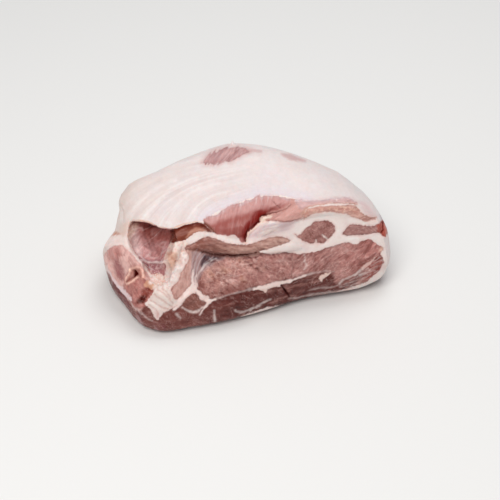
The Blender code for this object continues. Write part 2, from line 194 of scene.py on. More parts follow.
# The roll muscle and the fold under it.
ROLL_MUSCLE = [
    (185.5, 246.6), (194, 242.2), (200, 238.6), (206, 237), (213, 237.8), (220, 240.3), (229, 243),
    (238, 244.4), (250, 244.4), (258, 241.2), (266, 238.4), (275, 236.4), (282, 236.6), (290.5, 240.5),
    (283, 244.8), (274, 247.3), (264, 250.3), (252, 253.8), (238, 254.8), (224, 254.6), (212, 252.3),
    (201, 250), (193, 248.6),
]
CREASE_LINE = [
    (202, 251.8), (207, 252.8), (213, 254.2), (224, 255.4), (236, 255.7), (248, 254.9), (257, 253.4),
]
# The whole lean of the cut face under the seam fat, out to the fat rim on the right and the underside.
LEAN_FACE = [
    (196, 249), (206, 250), (216, 251.4), (236, 252), (254, 251), (262, 252.6), (270, 253.5), (284, 252.3),
    (300, 253.6), (314, 251.8), (326, 248), (338, 244), (348, 242.2), (355, 244.2), (363, 240.4),
    (371, 239.2), (377, 243.6), (383.5, 247.5), (382.5, 252), (384, 260), (382, 266.5), (376, 274),
    (368, 280.6), (358, 285.2), (346, 289), (334, 292), (315, 297), (290, 303), (262, 309), (240, 317),
    (215, 328), (180, 338), (140, 338), (112, 320), (96, 290), (94, 262), (103, 256), (112, 262),
    (150, 275), (170, 262), (196, 262),
]
MAIN_MUSCLE = [
    (206, 261), (215, 256), (240, 256), (270, 253), (300, 253), (326, 248), (348, 242), (371, 239),
    (384, 248), (376, 256), (362, 264), (352, 275), (336, 283), (330, 273), (305, 276), (280, 281),
    (255, 286), (232, 293.5), (214, 298.5), (203, 297), (198, 291), (195.5, 285), (198, 275),
]
# Thin seams of fat in the lean: points, half widths at the start, middle and end, and how white.
FAT_SEAMS = {
    "long_left": ([(214, 299), (225, 295.8), (238, 292), (254, 288.3)], (0.6, 0.35, 0.5), 0.45),
    "long_middle": ([(253, 288.6), (259, 287), (268, 284.8), (280, 283), (292, 280.3)],
                    (0.3, 1.6, 0.9), 1.0),
    "long_right": ([(290, 280.3), (298, 277.6), (306, 274.8)], (0.9, 0.6, 0.4), 0.9),
    "long_end": ([(305, 275), (314, 272.6), (324, 271.4), (334, 271.4)], (0.5, 0.4, 0.2), 0.55),
    "rim_branch_low": ([(361.6, 268.5), (357, 273.6), (350, 277), (343.3, 280.2), (339, 284)],
                       (0.7, 0.5, 0.4), 0.8),
    "face_top_right": ([(340, 243.2), (346, 240.2), (353, 238.6), (363, 237.4)], (0.3, 0.5, 0.4), 0.6),
    "membrane_rim": ([(216, 258.6), (210, 261.4), (203, 267), (198.5, 274), (196.5, 281), (197.5, 287)],
                     (0.2, 0.45, 0.5), 0.6),
    "left_of_main": ([(196.6, 274), (195.4, 281), (196, 288), (200, 293.5), (206, 298)],
                     (0.3, 0.6, 1.9), 0.9),
    "star": ([(195, 289), (201, 295.5), (207, 301), (216, 299.5)], (1.3, 1.6, 0.5), 0.95),
    "star_tail": ([(209, 302), (204.5, 308), (199.5, 314.5)], (1.7, 0.9, 0.3), 0.9),
    "oval_under": ([(182, 307.5), (189, 311.3), (196, 311.4), (203, 307.5)], (0.5, 0.6, 0.8), 0.75),
    "oval_left": ([(175, 309), (180, 303), (184, 297.8), (190.5, 291.5)], (1.2, 1.4, 1.2), 0.95),
    "drip": ([(214.2, 310.5), (214, 315.5), (214.8, 321)], (0.5, 0.75, 0.6), 0.75),
    "upright": ([(303.5, 252.5), (305, 257), (304.4, 261), (306.6, 265), (304, 269.5)],
                (0.25, 0.6, 0.3), 0.6),
    "lower_faint": ([(309, 290.3), (318, 288.2), (330, 287.2), (341, 285)], (0.3, 0.5, 0.3), 0.4),
    "rim_hook": ([(371, 222), (375.5, 220.6), (378, 217), (379.5, 212.5)], (1.0, 1.2, 1.0), 0.95),
    "speckle_low": ([(177, 314.5), (181, 318)], (0.6, 0.8, 0.4), 0.6),
    "bottom_rim_a": ([(235, 311), (239, 312.6), (250, 309.5), (262, 303.8), (270, 299.6)],
                     (0.7, 0.9, 0.5), 0.6),
    "bottom_rim_b": ([(289, 299), (300, 296.9), (314, 294.6), (332, 291.8), (350, 289.6)],
                     (0.3, 0.5, 0.8), 0.5),
    "left_skin_high": ([(120, 286), (127, 297), (134, 307), (143, 315), (152, 321)], (0.2, 0.4, 0.3), 0.5),
    "wedge_ridge": ([(106, 243), (112, 240.6), (119, 239.6), (125, 241.5), (129, 247.5)],
                    (1.6, 2.6, 1.3), 1.0),
    "wedge_rim": ([(128.5, 247), (133.5, 253.5), (139, 260.5), (144.6, 267.8), (150.3, 275.4), (152, 281)],
                  (1.1, 0.5, 0.8), 0.95),
    "hollow_floor": ([(141, 259.6), (150, 262.3), (158, 262.8), (165, 261.4)], (0.4, 0.7, 0.5), 0.7),
}
# Curved guides at the top and the bottom of the cap's pleats, between which its streaks run.
PLEAT_GUIDES = (
    [(262, 163), (235, 165), (205, 170), (176, 179), (150, 191), (128, 208), (120, 220)],
    [(250, 192), (232, 198), (216, 204), (205, 212), (199, 223)],
)
# The striped muscle at the right rim: its thin seams, its dark edge and a gleam of cream above it.
STRIPED_EDGE = [(362, 262.4), (371, 257.2), (376, 253.6)]
RIM_GLEAM = [(383, 246.5), (381, 250.5)]
STRIPES = [
    [(371.8, 261.3), (380, 257.5), (384.5, 255.6)], [(370.3, 265.8), (377, 262), (384.5, 259.8)],
    [(368, 269.2), (371, 270.4), (377, 266.5), (384, 264)], [(361.3, 271.8), (365, 269.6), (368, 268)],
    [(357.5, 274.8), (365, 272.5), (371, 268.8)], [(350, 280), (357.5, 277), (366.5, 273.3), (375, 270.6)],
    [(344, 283.8), (353.8, 281.5), (363.5, 277.8), (371, 274.4)],
    [(339.5, 286.8), (350, 285.3), (359, 282.3)],
]
# Pale patches of fat and film on the lean.
PALE_WEDGE = [
    (378.6, 254.6), (375.4, 257.6), (372.6, 260.6), (371, 263.2), (367, 266.4), (364, 268.8),
    (361.2, 270.4), (361.6, 267.2), (364.4, 264.6), (368, 262.4), (371.6, 259.9), (375.6, 256.8),
]
SEAM_BLOB = [
    (252, 289.6), (258, 286.3), (266, 284), (276, 282.8), (283, 283.2), (280, 286.4), (273, 287.6),
    (268, 289.4), (265.3, 293), (262.8, 291.4), (259.6, 289.8),
]
HOOK_PATCH = [
    (331, 272.4), (325, 273.8), (319.5, 276.6), (319, 278.6), (321.8, 282), (322.8, 279.2), (326.2, 276.6),
]
PALE_PATCH = [
    (198, 280), (200, 272), (206, 266), (214, 263), (222, 262), (232, 259), (246, 258.5), (258, 262),
    (262, 270), (252, 273), (240, 271), (232, 275), (228, 283), (216, 289), (204, 288),
]
STRIPED_MUSCLE = [
    (330, 290), (345, 284), (355, 279), (361, 270), (368, 263.5), (378, 256), (384, 258), (384, 265),
    (376, 274), (366, 281.5), (352, 287.5), (338, 291.5),
]
# Streaked skin under the left end, a rip and pits in the lean, fine creases and a short knife cut.
LEFT_SKIN = [
    (102, 262), (106, 268), (112, 277.5), (119, 286), (127, 296), (134, 306), (143, 314), (154, 320),
    (166, 326), (160, 340), (130, 330), (108, 305), (98, 280),
]
LOW_TORN = [(245.5, 261.5), (249.5, 264), (252.5, 267.5), (257.5, 269.6), (262, 273)]
FINE_CREASES = [
    ([(273, 201.5), (276.5, 204.6), (280.5, 208)], 0.5),
    ([(266, 220.6), (274, 221), (285, 221.4), (294, 220.6), (302, 219.4)], 0.7),
    ([(244, 258.5), (254, 257.4), (263, 255.6)], 0.6), ([(205, 258.5), (211, 262), (215, 261)], 0.7),
]
NICK = [(281.2, 284.6), (284.5, 289.5), (287.5, 293.8), (290.3, 298)]
GRAIN_TURN = 292.0  # the fibres of the lean run another way to the right of this
SMALL_PITS = [(215, 261.5, 1.4), (222, 271, 1.2), (251, 265.5, 1.5), (257, 268.5, 1.2), (240, 262, 1.2)]
# Left end: the fat it is drawn on, the hollow under the flap, the wedge, the torn knot and the small muscles.
LEFT_FAT = [
    (100, 262), (104, 244), (116, 226), (134, 219), (170, 226), (190, 222), (212, 234), (200, 250),
    (196, 275), (197, 290), (186, 300), (176, 306), (163, 313), (157, 320), (150, 309), (140, 300),
    (120, 285), (108, 272),
]
HOLLOW = [
    (131, 223), (134, 222), (140, 220), (152, 222.5), (162, 226.5), (173, 227.5), (181, 228.5), (179, 234),
    (175, 238.5), (170, 243.5), (167, 250), (164.5, 257), (163.5, 262), (156, 263), (149, 262.3),
    (142, 260.8), (137.8, 257), (132.9, 250.1), (129.5, 243), (127.5, 236), (128.5, 228),
]
# The top of the hollow, painted darker brown as the flap's shade.
HOLLOW_FLAP_SHADE = [
    (136, 220), (150, 222), (160, 227), (172, 230), (181, 231), (172, 240), (160, 243), (148, 239),
    (140, 233),
]
HOLLOW_MEMBRANE = [
    (125, 236), (127, 228), (133, 222.5), (137, 226), (138, 236), (140, 246), (141, 254), (137, 255),
    (131, 247),
]
HOLLOW_TAN = [(125, 238), (126, 228), (132, 221), (139, 221), (137, 228), (132, 235), (128, 241)]
HOLLOW_FOOT = [
    (138.2, 259.4), (150, 262.8), (164, 262.5), (166, 268), (164, 276), (158, 278), (150, 275.6),
    (142.8, 267.8),
]
# Torn muscle under the flap, its tone darkened with painted shade.
UNDER_FLAP = [
    (174, 230), (183, 225), (191, 223), (198, 222), (206, 225.5), (213, 233), (205, 231.5), (198, 232),
    (192, 235), (187, 239), (179, 242), (172, 243), (173, 236),
]
# Line of painted shadow just under the flap's edge.
FLAP_SHADOW_LINE = [
    (172, 231.2), (178, 229), (184, 226.4), (191, 225), (197, 224), (204, 226.8), (210, 232), (216, 235.6),
]
UNDER_FLAP_TAN = [
    (186, 238), (189, 232), (194, 228.5), (202, 228.5), (208, 231.5), (198, 232.4), (191, 235.5),
]
WEDGE = [
    (103.5, 256), (108, 249.8), (115, 245), (122, 245.6), (128.2, 250.8), (135.4, 258), (142.4, 266),
    (148.4, 272.8), (153, 280.4), (148, 290), (142, 300), (139, 309), (133, 303), (127, 292), (119, 283.5),
    (112, 275.5), (107, 267), (103.5, 261),
]
WEDGE_MID = [(108.5, 250), (114, 246.6), (119, 247.8), (122, 254), (119, 259.5), (113, 262), (108, 258)]
LILAC_BAND = [
    (106.8, 264.5), (109.8, 271.8), (113.2, 277.8), (118.2, 283.3), (123.7, 289.3), (129.2, 295.3),
    (132.7, 300.5), (131.2, 301.5), (126.2, 297), (120.8, 290.8), (115.8, 284.8), (111.4, 278.2),
    (108, 271.5), (106, 266),
]
WEDGE_DARK = [
    (113.5, 261), (118.5, 259.5), (122.5, 266), (125.5, 275), (125, 279.5), (120, 280), (115.5, 272.5),
]
KNOT_RIM = [
    (127, 274), (131, 268), (135, 266.2), (140.5, 267), (145, 272.5), (145, 279), (139.5, 278.6),
    (135, 281), (129, 286), (125.4, 284.5), (124.6, 280),
]
# The knot's hole, painted dark as the shade in it.
KNOT_HOLE = [(134.6, 269.4), (136.4, 271.2), (138.6, 274.4), (136.5, 275.6), (133.6, 277), (134.2, 273.4)]
# Lips of fat round the torn vessel, each a raised fold: its line and half width.
KNOT_FOLDS = [
    ([(130.9, 269.4), (134.7, 267.4), (139.9, 268.2), (143.4, 273), (143.7, 277)], 1.35),
    ([(131, 270.5), (129.4, 275), (126.4, 279.6), (127.2, 283.4)], 1.0),
    ([(128.3, 284.2), (132.5, 281.8), (136, 279), (139.5, 277.2)], 0.95),
]
# A slit between the folds, painted dark as shade.
KNOT_SLIT = [(127.2, 282.2), (130, 279.4), (133, 277)]
TORN_MEAT = [
    (127, 284), (133, 279.5), (139, 278.5), (144, 281), (148.5, 287), (153.5, 288.5), (152, 294.5),
    (148.5, 299.5), (145, 303.5), (140, 306), (133, 303.5), (129, 297), (126, 290),
]
# The sunken middle of the torn meat, darker red partly as painted shade, and its deepest place, painted dark
# as shade.
TORN_DARK = [
    (142, 290), (148, 286.8), (153.5, 288.6), (150, 294), (146, 299.5), (141.5, 303.8), (136.7, 303),
    (138.5, 299), (142, 295),
]
TORN_DEEP = [(137, 302.6), (139, 298.6), (143, 295.6), (146.5, 296.4), (145, 300.5), (141, 304)]
TAN_LOBE = [
    (143.7, 283.5), (147, 280.8), (152, 280.6), (156, 283.5), (155.5, 287.5), (152, 289.4), (148.5, 286.6),
    (145, 286.6),
]
FAT_RIDGE = [
    (170.5, 246), (175, 242.6), (181, 241.6), (186.5, 243), (186, 250), (181, 256), (177, 262),
    (175.5, 268), (172.5, 273), (169, 270), (166, 262), (166, 254), (168, 249),
]
RIDGE_YELLOW = [
    (168, 254), (173, 251.5), (177, 254), (176.5, 260), (174, 266), (172, 271), (169.5, 266), (167, 259),
]
WHITE_BAND = [
    (180, 250), (185.5, 249), (187, 256), (185.8, 262), (180.6, 267.4), (177, 273.5), (175.4, 281),
    (173, 288), (170, 291), (166.5, 287), (168, 280), (171.5, 272), (175, 264),
]
TORN_WHITE = [
    (151.5, 276), (157, 273.4), (163, 275), (168, 279), (170, 286), (166, 290), (160.5, 287.5),
    (156.5, 290.5), (153, 290), (156.5, 285), (153, 280),
]
TENDON = [
    (148.4, 302.5), (151.5, 299), (154, 294.8), (157.2, 289.4), (160.5, 286), (166, 287.5), (170.1, 294.8),
    (173.4, 301.2), (173.8, 305.7), (170.2, 309), (162, 311.6), (160, 316), (157.4, 320), (155, 315),
    (153.6, 312), (149.6, 306.8),
]
TENDON_FIBRES = [
    [(158, 289), (163, 293), (169, 298.5), (173.5, 303.5)],
    [(154.5, 294), (161, 298.5), (168, 304), (172, 307)],
    [(150.5, 300.5), (156, 303.5), (163, 307.5), (168, 309)],
    [(149, 305), (153.5, 307.5), (157.5, 312), (157.5, 317)], [(162, 288.5), (167, 293), (171, 298.5)],
]
SIDE_MUSCLE = [
    (184.6, 247.5), (190, 245.6), (198, 248.8), (196, 257), (194.2, 266), (191.6, 275), (191, 285),
    (187, 289.5), (181.5, 296), (177, 299.5), (172.5, 296), (171.8, 288), (177.5, 281), (181, 272),
    (186, 264.5), (188.6, 257),
]
OVAL_MUSCLE = [
    (181.2, 304), (185, 299), (190, 294.5), (195, 293), (199, 295.5), (203.6, 301), (202, 306.5),
    (196.5, 310.4), (190, 310), (184, 308),
]
MEMBRANE = [
    (194, 247.5), (202, 249), (212, 251.6), (224, 255.6), (214, 260.5), (206.5, 265.2), (201, 271),
    (197, 279), (194.6, 285), (193.6, 276), (194.4, 262),
]
# Part of the membrane under the roll, darkened with painted shadow.
MEMBRANE_SHADOW = [(200, 267), (202, 259), (205, 253.5), (214, 254), (224, 256), (215, 260), (207.5, 264.5)]
MEMBRANE_THREADS = [
    [(197, 249.5), (193.6, 257), (191.4, 268), (190.8, 278)],
    [(205, 254.5), (199.5, 262), (196.4, 273), (194.8, 284)],
    [(201, 252), (196.5, 259), (194.6, 269), (193.8, 279)], [(213, 256.5), (206, 262), (200.2, 269.5)],
]
LEFT_TAN = [(118, 236), (120, 226), (126, 222), (134, 220), (133, 226), (127, 231), (123, 238)]
LEFT_BLUSH = [(108, 240), (111, 235), (116, 231.5), (120, 235), (119, 240), (113, 241)]
# Shallow pleats of the cap, which swing from the crown down to the flap: painted shade in them, painted light
# on their ridges.
PLEATS = [
    [(232, 180), (205, 185), (190, 192), (179, 202), (171, 212), (166, 224)],
    [(224, 188), (205, 194), (192, 202), (184, 212), (180, 222)],
    [(205, 178), (185, 185), (171, 193), (159, 204), (150, 217)],
    [(190, 175), (170, 183), (157, 191), (147, 199), (139, 209), (134, 217)],
    [(228, 196), (213, 201), (203, 209), (197, 218)],
    [(160, 180), (145, 190), (133, 200), (126, 212)],
    [(178, 190), (166, 199), (156, 211), (151, 219)],
]
PLEAT_RIDGES = [
    [(218, 183), (197, 189), (184, 198), (174, 209), (168, 222)],
    [(226, 192), (209, 197), (197, 206), (190, 217)],
    [(197, 177), (177, 185), (164, 194), (153, 205), (145, 216)],
    [(175, 180), (160, 187), (147, 196), (137, 206), (131, 216)],
]
# Streaks of the feathered edge on the belly: place across, top, bottom and strength.
FEATHER_STREAKS = [
    (223.5, 216, 207, 0.9), (212.5, 219, 213, 0.8), (241, 212, 201, 0.8), (256.5, 207, 197, 0.9),
    (262, 206, 195, 0.6), (268, 205, 196, 0.6), (234, 211, 204, 0.4), (248.5, 206, 199, 0.5),
    (271.5, 200, 195, 0.8),
]
COMB_STRETCH = (4.6, 34.0)
# Fine streaks on the crown fan out from here: degrees for one streak, and how long they are drawn.
FAN_CENTRE = (196.0, 190.0)
FAN_DEGREES = 2.6
FAN_LENGTH = 40.0
# Where something comes in over the chart, from none to full: across it, then down it.
SPANS = {
    "cap_left": ((210, 140), None), "cap_far_left_tan_and_shade": ((150, 112), None), "pleated": ((262, 215), None),
    "feathered": (None, (222, 214)), "high_fringe": (None, (203.5, 200)),
    "speckled_fringe": ((312, 330), None), "ragged_rim": ((365, 378), None),
    "main_right": ((330, 372), None), "broad_curls": ((330, 290), None), "warm_main": ((300, 240), None),
    "swollen": ((255, 205), None), "main_foot_shade": ((276, 240), (272, 284)), "torn_main": ((275, 240), None),
    "bottom_left": ((250, 200), (300, 310)), "low_left": ((250, 190), (298, 306)),
    "dark_stripes": ((374, 352), None), "fat_stripes": ((335, 372), None),
    "lumpy_left": ((200, 180), (226, 236)), "tendon_tip": (None, (307, 316)),
    "roll_left": ((236, 200), None), "roll_pale": ((262, 280), None), "crease_shade": ((262, 244), None),
}

# ==== Colours, as sRGB bytes seen on the joint.
COLOURS = {
    "cap": (228, 216, 214), "cap_left": (231, 217, 212), "cap_far_left_tan_and_shade": (219, 199, 190),
    "cap_lilac": (226, 215, 221), "crown_patch": (188, 146, 145), "far_patch": (206, 172, 170),
    "belly": (202, 150, 145), "belly_red": (152, 70, 62), "cleft": (128, 32, 27),
    "cleft_wall": (196, 60, 48), "fold_line_shade": (92, 20, 14), "lip": (208, 156, 147),
    "knob": (236, 214, 200), "cream": (232, 196, 172), "fold_shadow": (72, 24, 20),
    "roll_pale": (196, 160, 148), "main_warm": (200, 142, 120), "knot_fold_peach_and_highlight": (238, 192, 176),
    "salmon": (218, 172, 160), "salmon_core": (203, 146, 132), "fringe": (210, 170, 168),
    "blush": (222, 196, 194), "seam_fat": (238, 224, 219), "seam_lilac": (208, 184, 186),
    "eye": (166, 115, 108), "flat": (164, 118, 112), "vessel": (188, 96, 82), "vessel_line": (104, 14, 8),
    "roll": (172, 130, 118), "roll_left": (136, 78, 66), "main": (179, 126, 119),
    "main_pale": (200, 148, 137), "main_right": (188, 122, 115), "bottom": (98, 44, 38),
    "bottom_left": (92, 44, 38), "striped": (160, 86, 78), "hollow": (212, 160, 158),
    "hollow_brown_and_shade": (172, 102, 94), "lip_rim_red_shade": (228, 168, 154), "hollow_membrane": (214, 184, 180),
    "hollow_foot": (172, 118, 122), "under_flap": (128, 68, 54), "main_foot_shade": (152, 98, 90),
    "under_flap_tan": (184, 130, 110), "wedge": (224, 180, 172), "wedge_dark": (160, 98, 97),
    "wedge_mid": (194, 136, 129), "lilac": (226, 206, 208), "torn_deep_shade": (92, 36, 30),
    "torn_white": (228, 202, 192), "flap_shadow": (90, 30, 22), "vein": (176, 156, 164),
    "knot": (194, 130, 118), "knot_hole_shade": (84, 12, 8), "torn": (180, 116, 108), "torn_red_and_shade": (146, 74, 64),
    "low_left": (122, 68, 61), "left_streak": (198, 160, 166), "left_dark": (120, 62, 64),
    "tan_lobe": (206, 152, 126), "ridge": (236, 212, 202), "ridge_yellow": (214, 168, 148),
    "white_fat": (236, 216, 210), "tendon": (230, 212, 205), "side_muscle": (196, 152, 142),
    "oval": (134, 84, 74), "membrane": (178, 144, 142), "membrane_in_shadow": (78, 52, 58),
    "crease": (112, 66, 60), "left_tan": (216, 182, 164), "left_blush": (200, 142, 120),
    "underside": (142, 92, 86), "flap_edge": (220, 180, 158), "flap_under": (190, 150, 140),
    "pleat": (220, 204, 202), "pleat_light_and_white_fat": (243, 234, 232), "fleck": (216, 182, 174),
    "nick": (52, 12, 10), "thread": (208, 188, 190), "crumb": (238, 226, 218), "floor": (236, 235, 233),
}


def linear(name):
    """One of the colours above as a linear triple."""
    bytes_ = np.array(COLOURS[name]) / 255.0
    return np.where(bytes_ <= 0.04045, bytes_ / 12.92, ((bytes_ + 0.055) / 1.055) ** 2.4)


# ==== Tools for curves, noise and distances.
FAR = 16.0  # distances on the chart are not worked out past this many units
GUIDE_REACH = 90.0
SOLID_WHITE = 0.85  # only a seam whiter than this is drawn as fat


def smoothstep(low, high, value):
    """0 at `low` and 1 at `high`, either of which may be the larger, with a soft slope between."""
    t = np.clip((value - low) / (high - low), 0.0, 1.0)
    return t * t * (3 - 2 * t)


def bell(gap, width):
    """1 on a line, falling away to each side of it."""
    return np.exp(-((gap / width) ** 2))


def curve(points, closed=False, step=1.6):
    """A smooth line through chart points, with a point about every `step` units."""
    p = np.array(points, float)
    count = len(p)
    spans = count if closed else count - 1
    line = []
    for i in range(spans):
        if closed:
            a, b, c, d = (p[(i + k) % count] for k in (-1, 0, 1, 2))
        else:
            a, b, c, d = (p[min(max(i + k, 0), count - 1)] for k in (-1, 0, 1, 2))
        pieces = max(1, int(np.linalg.norm(c - b) / step))
        for t in np.arange(pieces) / pieces:
            line.append(0.5 * (2 * b + (c - a) * t + (2 * a - 5 * b + 4 * c - d) * t**2
                               + (3 * b - 3 * c + d - a) * t**3))
    if not closed:
        line.append(p[-1])
    return np.array(line)


def distance(places, line, closed=False, reach=FAR):
    """Distance of each place to a line, and how far along the line its nearest point lies, from 0 to 1."""
    best = np.full(len(places), reach)
    along = np.zeros(len(places))
    low, high = line.min(axis=0) - reach, line.max(axis=0) + reach
    near = np.flatnonzero(np.all((places > low) & (places < high), axis=1))
    if len(near) == 0:
        return best, along
    q = places[near]
    starts = line if closed else line[:-1]
    ends = np.roll(line, -1, axis=0) if closed else line[1:]
    d_best, a_best = np.full(len(q), reach), np.zeros(len(q))
    for i, (s, e) in enumerate(zip(starts, ends)):
        run = e - s
        t = np.clip(((q - s) @ run) / max(run @ run, 1e-9), 0, 1)
        gap = np.hypot(*(q - s - t[:, None] * run).T)
        closer = gap < d_best
        d_best[closer] = gap[closer]
        a_best[closer] = (i + t[closer]) / len(starts)
    best[near], along[near] = d_best, a_best
    return best, along


def depth_in(places, outline):
    """Signed distance to a closed outline: positive inside, negative outside."""
    line = curve(outline, closed=True)
    gap, _ = distance(places, line, closed=True)
    x, y = places[:, 0], places[:, 1]
    low, high = line.min(axis=0), line.max(axis=0)
    near = np.flatnonzero((x > low[0]) & (x < high[0]) & (y > low[1]) & (y < high[1]))
    crossed = np.zeros(len(places), bool)
    xn, yn = x[near], y[near]
    odd = np.zeros(len(near), bool)
    for (x0, y0), (x1, y1) in zip(line, np.roll(line, -1, axis=0)):
        if y0 == y1:
            continue
        odd ^= ((y0 > yn) != (y1 > yn)) & (xn < (x1 - x0) * (yn - y0) / (y1 - y0) + x0)
    crossed[near] = odd
    return np.where(crossed, gap, -gap)


NOISE_CELLS = 32
SEED_SHIFT = 0.37
OCTAVE_SHARE = 0.55


def noise(points, size, seed):
    """Smooth noise from -1 to 1 with lumps about `size` across, at each point."""
    table = np.random.default_rng(seed).uniform(-1, 1, (NOISE_CELLS,) * 3)
    q = points / size + SEED_SHIFT * seed
    cell = np.floor(q).astype(int)
    t = q - cell
    t = t * t * (3 - 2 * t)
    total = np.zeros(len(points))
    for dx in (0, 1):
        for dy in (0, 1):
            for dz in (0, 1):
                weight = np.ones(len(points))
                for axis, step in enumerate((dx, dy, dz)):
                    weight = weight * (t[:, axis] if step else 1 - t[:, axis])
                i, j, k = ((cell + (dx, dy, dz)) % NOISE_CELLS).T
                total += weight * table[i, j, k]
    return total


def rough_noise(points, size, seed, octaves=3):
    """Noise of several sizes, each half of the last and weaker."""
    total, weight = np.zeros(len(points)), 0.0
    for octave in range(octaves):
        share = OCTAVE_SHARE**octave
        total += share * noise(points, size / 2**octave, seed + octave)
        weight += share
    return total / weight


# ==== The skin: the solids made one closed surface, fine where it shows and coarse behind and below.
SKIN_GRID = 0.85 * MM
SEAM_CLOSING = 0.35 * MM
CAP_FOOT = 15 * MM
HIDDEN_KEEP = 0.16
SIGHT_TRIES = (0.8, 1.2, 0.005)  # in metres from the camera: first, last and step
SLIT_REACH = 3.6  # chart units to each side of the slit
SLIT_SUNK = 4.2 * MM
SLIT_BALL = 3.7 * MM
LEFT_INSET = 5.0 * MM
INSET_ACROSS = (140.0, 108.0)
INSET_TOP = (196.0, 212.0)
INSET_FOOT = (254.0, 228.0)
LEFT_END = (-75, -95)  # in millimetres, where the cap's foot starts to rise and where it has risen
LEFT_RIM = -60 * MM
TURNED_AWAY = -0.12  # how far a surface faces away before its triangles get larger
TURNED_TO = 0.02
# Box that holds the walls of the hollow, the slit and the fold under the roll.
INNER_LOW = np.array((-98, -66, 35)) * MM
INNER_HIGH = np.array((50, 15, 86)) * MM
CLEFT_WALL_LEFT = (-40, -10)  # in millimetres, as is the next
CLEFT_WALL_RIGHT = (11, 5)
UNDER_ROLL_TOP = 58 * MM
UNDER_ROLL_BACK = -38 * MM
UNDER_ROLL_LEFT = -50 * MM
# Edges that are rounded off: a line on the chart, how far to each side, and how many rounds of smoothing.
CLEFT_STEEP = CLEFT_LINE[:9]
CLEFT_SHALLOW = CLEFT_LINE[8:]
HOLLOW_WALL = [(133, 229), (134, 238), (138, 248), (145, 257)]
HOLLOW_CORNER = [(129, 223), (127.5, 231), (129, 241)]
ROUNDED = [
    (HOLLOW_WALL, 9.0, 50), (HOLLOW_CORNER, 5.0, 30), (CLEFT_STEEP, 4.0, 12), (CLEFT_SHALLOW, 7.0, 40),
    (LIP_EDGE, 4.0, 12), (CREASE_LINE, 3.0, 8),
]
# Balls along the flap's thick rim: how far they stray and how far above the edge they are, in chart
# units, and how far sunk and how large they are, in millimetres.
FLAP_RAGGED = FLAP_EDGE[4:15]
RIM_ACROSS = 0.5
RIM_DOWN = 0.6
RIM_ABOVE = 1.0
RIM_SUNK = 0.6
RIM_RADII = (1.0, 1.8)


def merged_node_mesh(name, grow=0.0):
    """Vertices and triangles of one CAD solid with its doubles merged, grown outwards a little."""
    co, tris = mesh_arrays(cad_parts[name].data)
    keys, back = np.unique(np.round(co, 6), axis=0, return_inverse=True)
    tris = back.reshape(-1)[tris]
    return keys + vertex_normals(keys, tris) * grow, tris


def vertex_normals(co, tris):
    """Normals at the vertices, weighted by triangle area."""
    a, b, c = co[tris[:, 0]], co[tris[:, 1]], co[tris[:, 2]]
    face = np.cross(b - a, c - a)
    out = np.zeros_like(co)
    for corner in range(3):
        for axis in range(3):
            out[:, axis] += np.bincount(tris[:, corner], face[:, axis], len(co))
    return out / np.maximum(np.linalg.norm(out, axis=1, keepdims=True), 1e-12)


def linked(name, data):
    """An object in the scene for a mesh, a lamp or a camera."""
    obj = bpy.data.objects.new(name, data)
    bpy.context.scene.collection.objects.link(obj)
    return obj


def new_mesh_object(name, co, faces):
    """An object in the scene, made from points and faces."""
    mesh = bpy.data.meshes.new(name)
    mesh.from_pydata(np.asarray(co).tolist(), [], np.asarray(faces).tolist())
    mesh.update()
    return linked(name, mesh)


def worked_mesh(obj):
    """A plain mesh of the object with its modifiers worked in. The object itself is dropped."""
    bpy.context.view_layer.update()
    graph = bpy.context.evaluated_depsgraph_get()
    made = bpy.data.meshes.new_from_object(obj.evaluated_get(graph), depsgraph=graph)
    mesh = obj.data
    bpy.data.objects.remove(obj)
    bpy.data.meshes.remove(mesh)
    return made


def mesh_arrays(mesh):
    """Vertices and triangles of a mesh as arrays."""
    co = np.zeros(len(mesh.vertices) * 3)
    mesh.vertices.foreach_get("co", co)
    mesh.calc_loop_triangles()
    tris = np.zeros(len(mesh.loop_triangles) * 3, int)
    mesh.loop_triangles.foreach_get("vertices", tris)
    return co.reshape(-1, 3), tris.reshape(-1, 3)


def stacked(shapes):
    """Several pairs of vertices and triangles as one pair, and the number of each triangle's shape."""
    all_co, all_tris, owner, start = [], [], [], 0
    for number, (co, tris) in enumerate(shapes):
        all_co.append(co)
        all_tris.append(tris + start)
        owner += [number] * len(tris)
        start += len(co)
    return np.concatenate(all_co), np.concatenate(all_tris), np.array(owner)


def neighbours(tris):
    """Each edge once, as two columns."""
    edges = np.sort(np.concatenate((tris[:, :2], tris[:, 1:], tris[:, ::2])), axis=1)
    return np.unique(edges, axis=0)


def relaxed(values, edges, amount, times):
    """Values at the vertices, smoothed along the surface by `amount` (a number or one for each vertex)."""
    values = values.copy()
    one_column = values.ndim == 1
    if one_column:
        values = values[:, None]
    count = len(values)
    degree = np.maximum(np.bincount(edges.ravel(), minlength=count), 1)[:, None]
    amount = np.broadcast_to(np.asarray(amount, float).reshape(-1, 1), (count, 1))
    for _ in range(times):
        total = np.zeros_like(values)
        for column in range(values.shape[1]):
            total[:, column] = np.bincount(edges[:, 0], values[edges[:, 1], column], count)
            total[:, column] += np.bincount(edges[:, 1], values[edges[:, 0], column], count)
        values += amount * (total / degree - values)
    return values[:, 0] if one_column else values


def outer_shell(co, tris):
    """Only the piece of surface that holds the highest vertex, so shells closed up inside are dropped."""
    label = np.arange(len(co))
    edges = neighbours(tris)
    while True:
        low = np.minimum(label[edges[:, 0]], label[edges[:, 1]])
        new = label.copy()
        np.minimum.at(new, edges[:, 0], low)
        np.minimum.at(new, edges[:, 1], low)
        new = new[new]
        if np.array_equal(new, label):
            break
        label = new
    keep = label == label[co[:, 2].argmax()]
    tris = tris[keep[tris[:, 0]]]
    number = np.cumsum(keep) - 1
    return co[keep], number[tris]


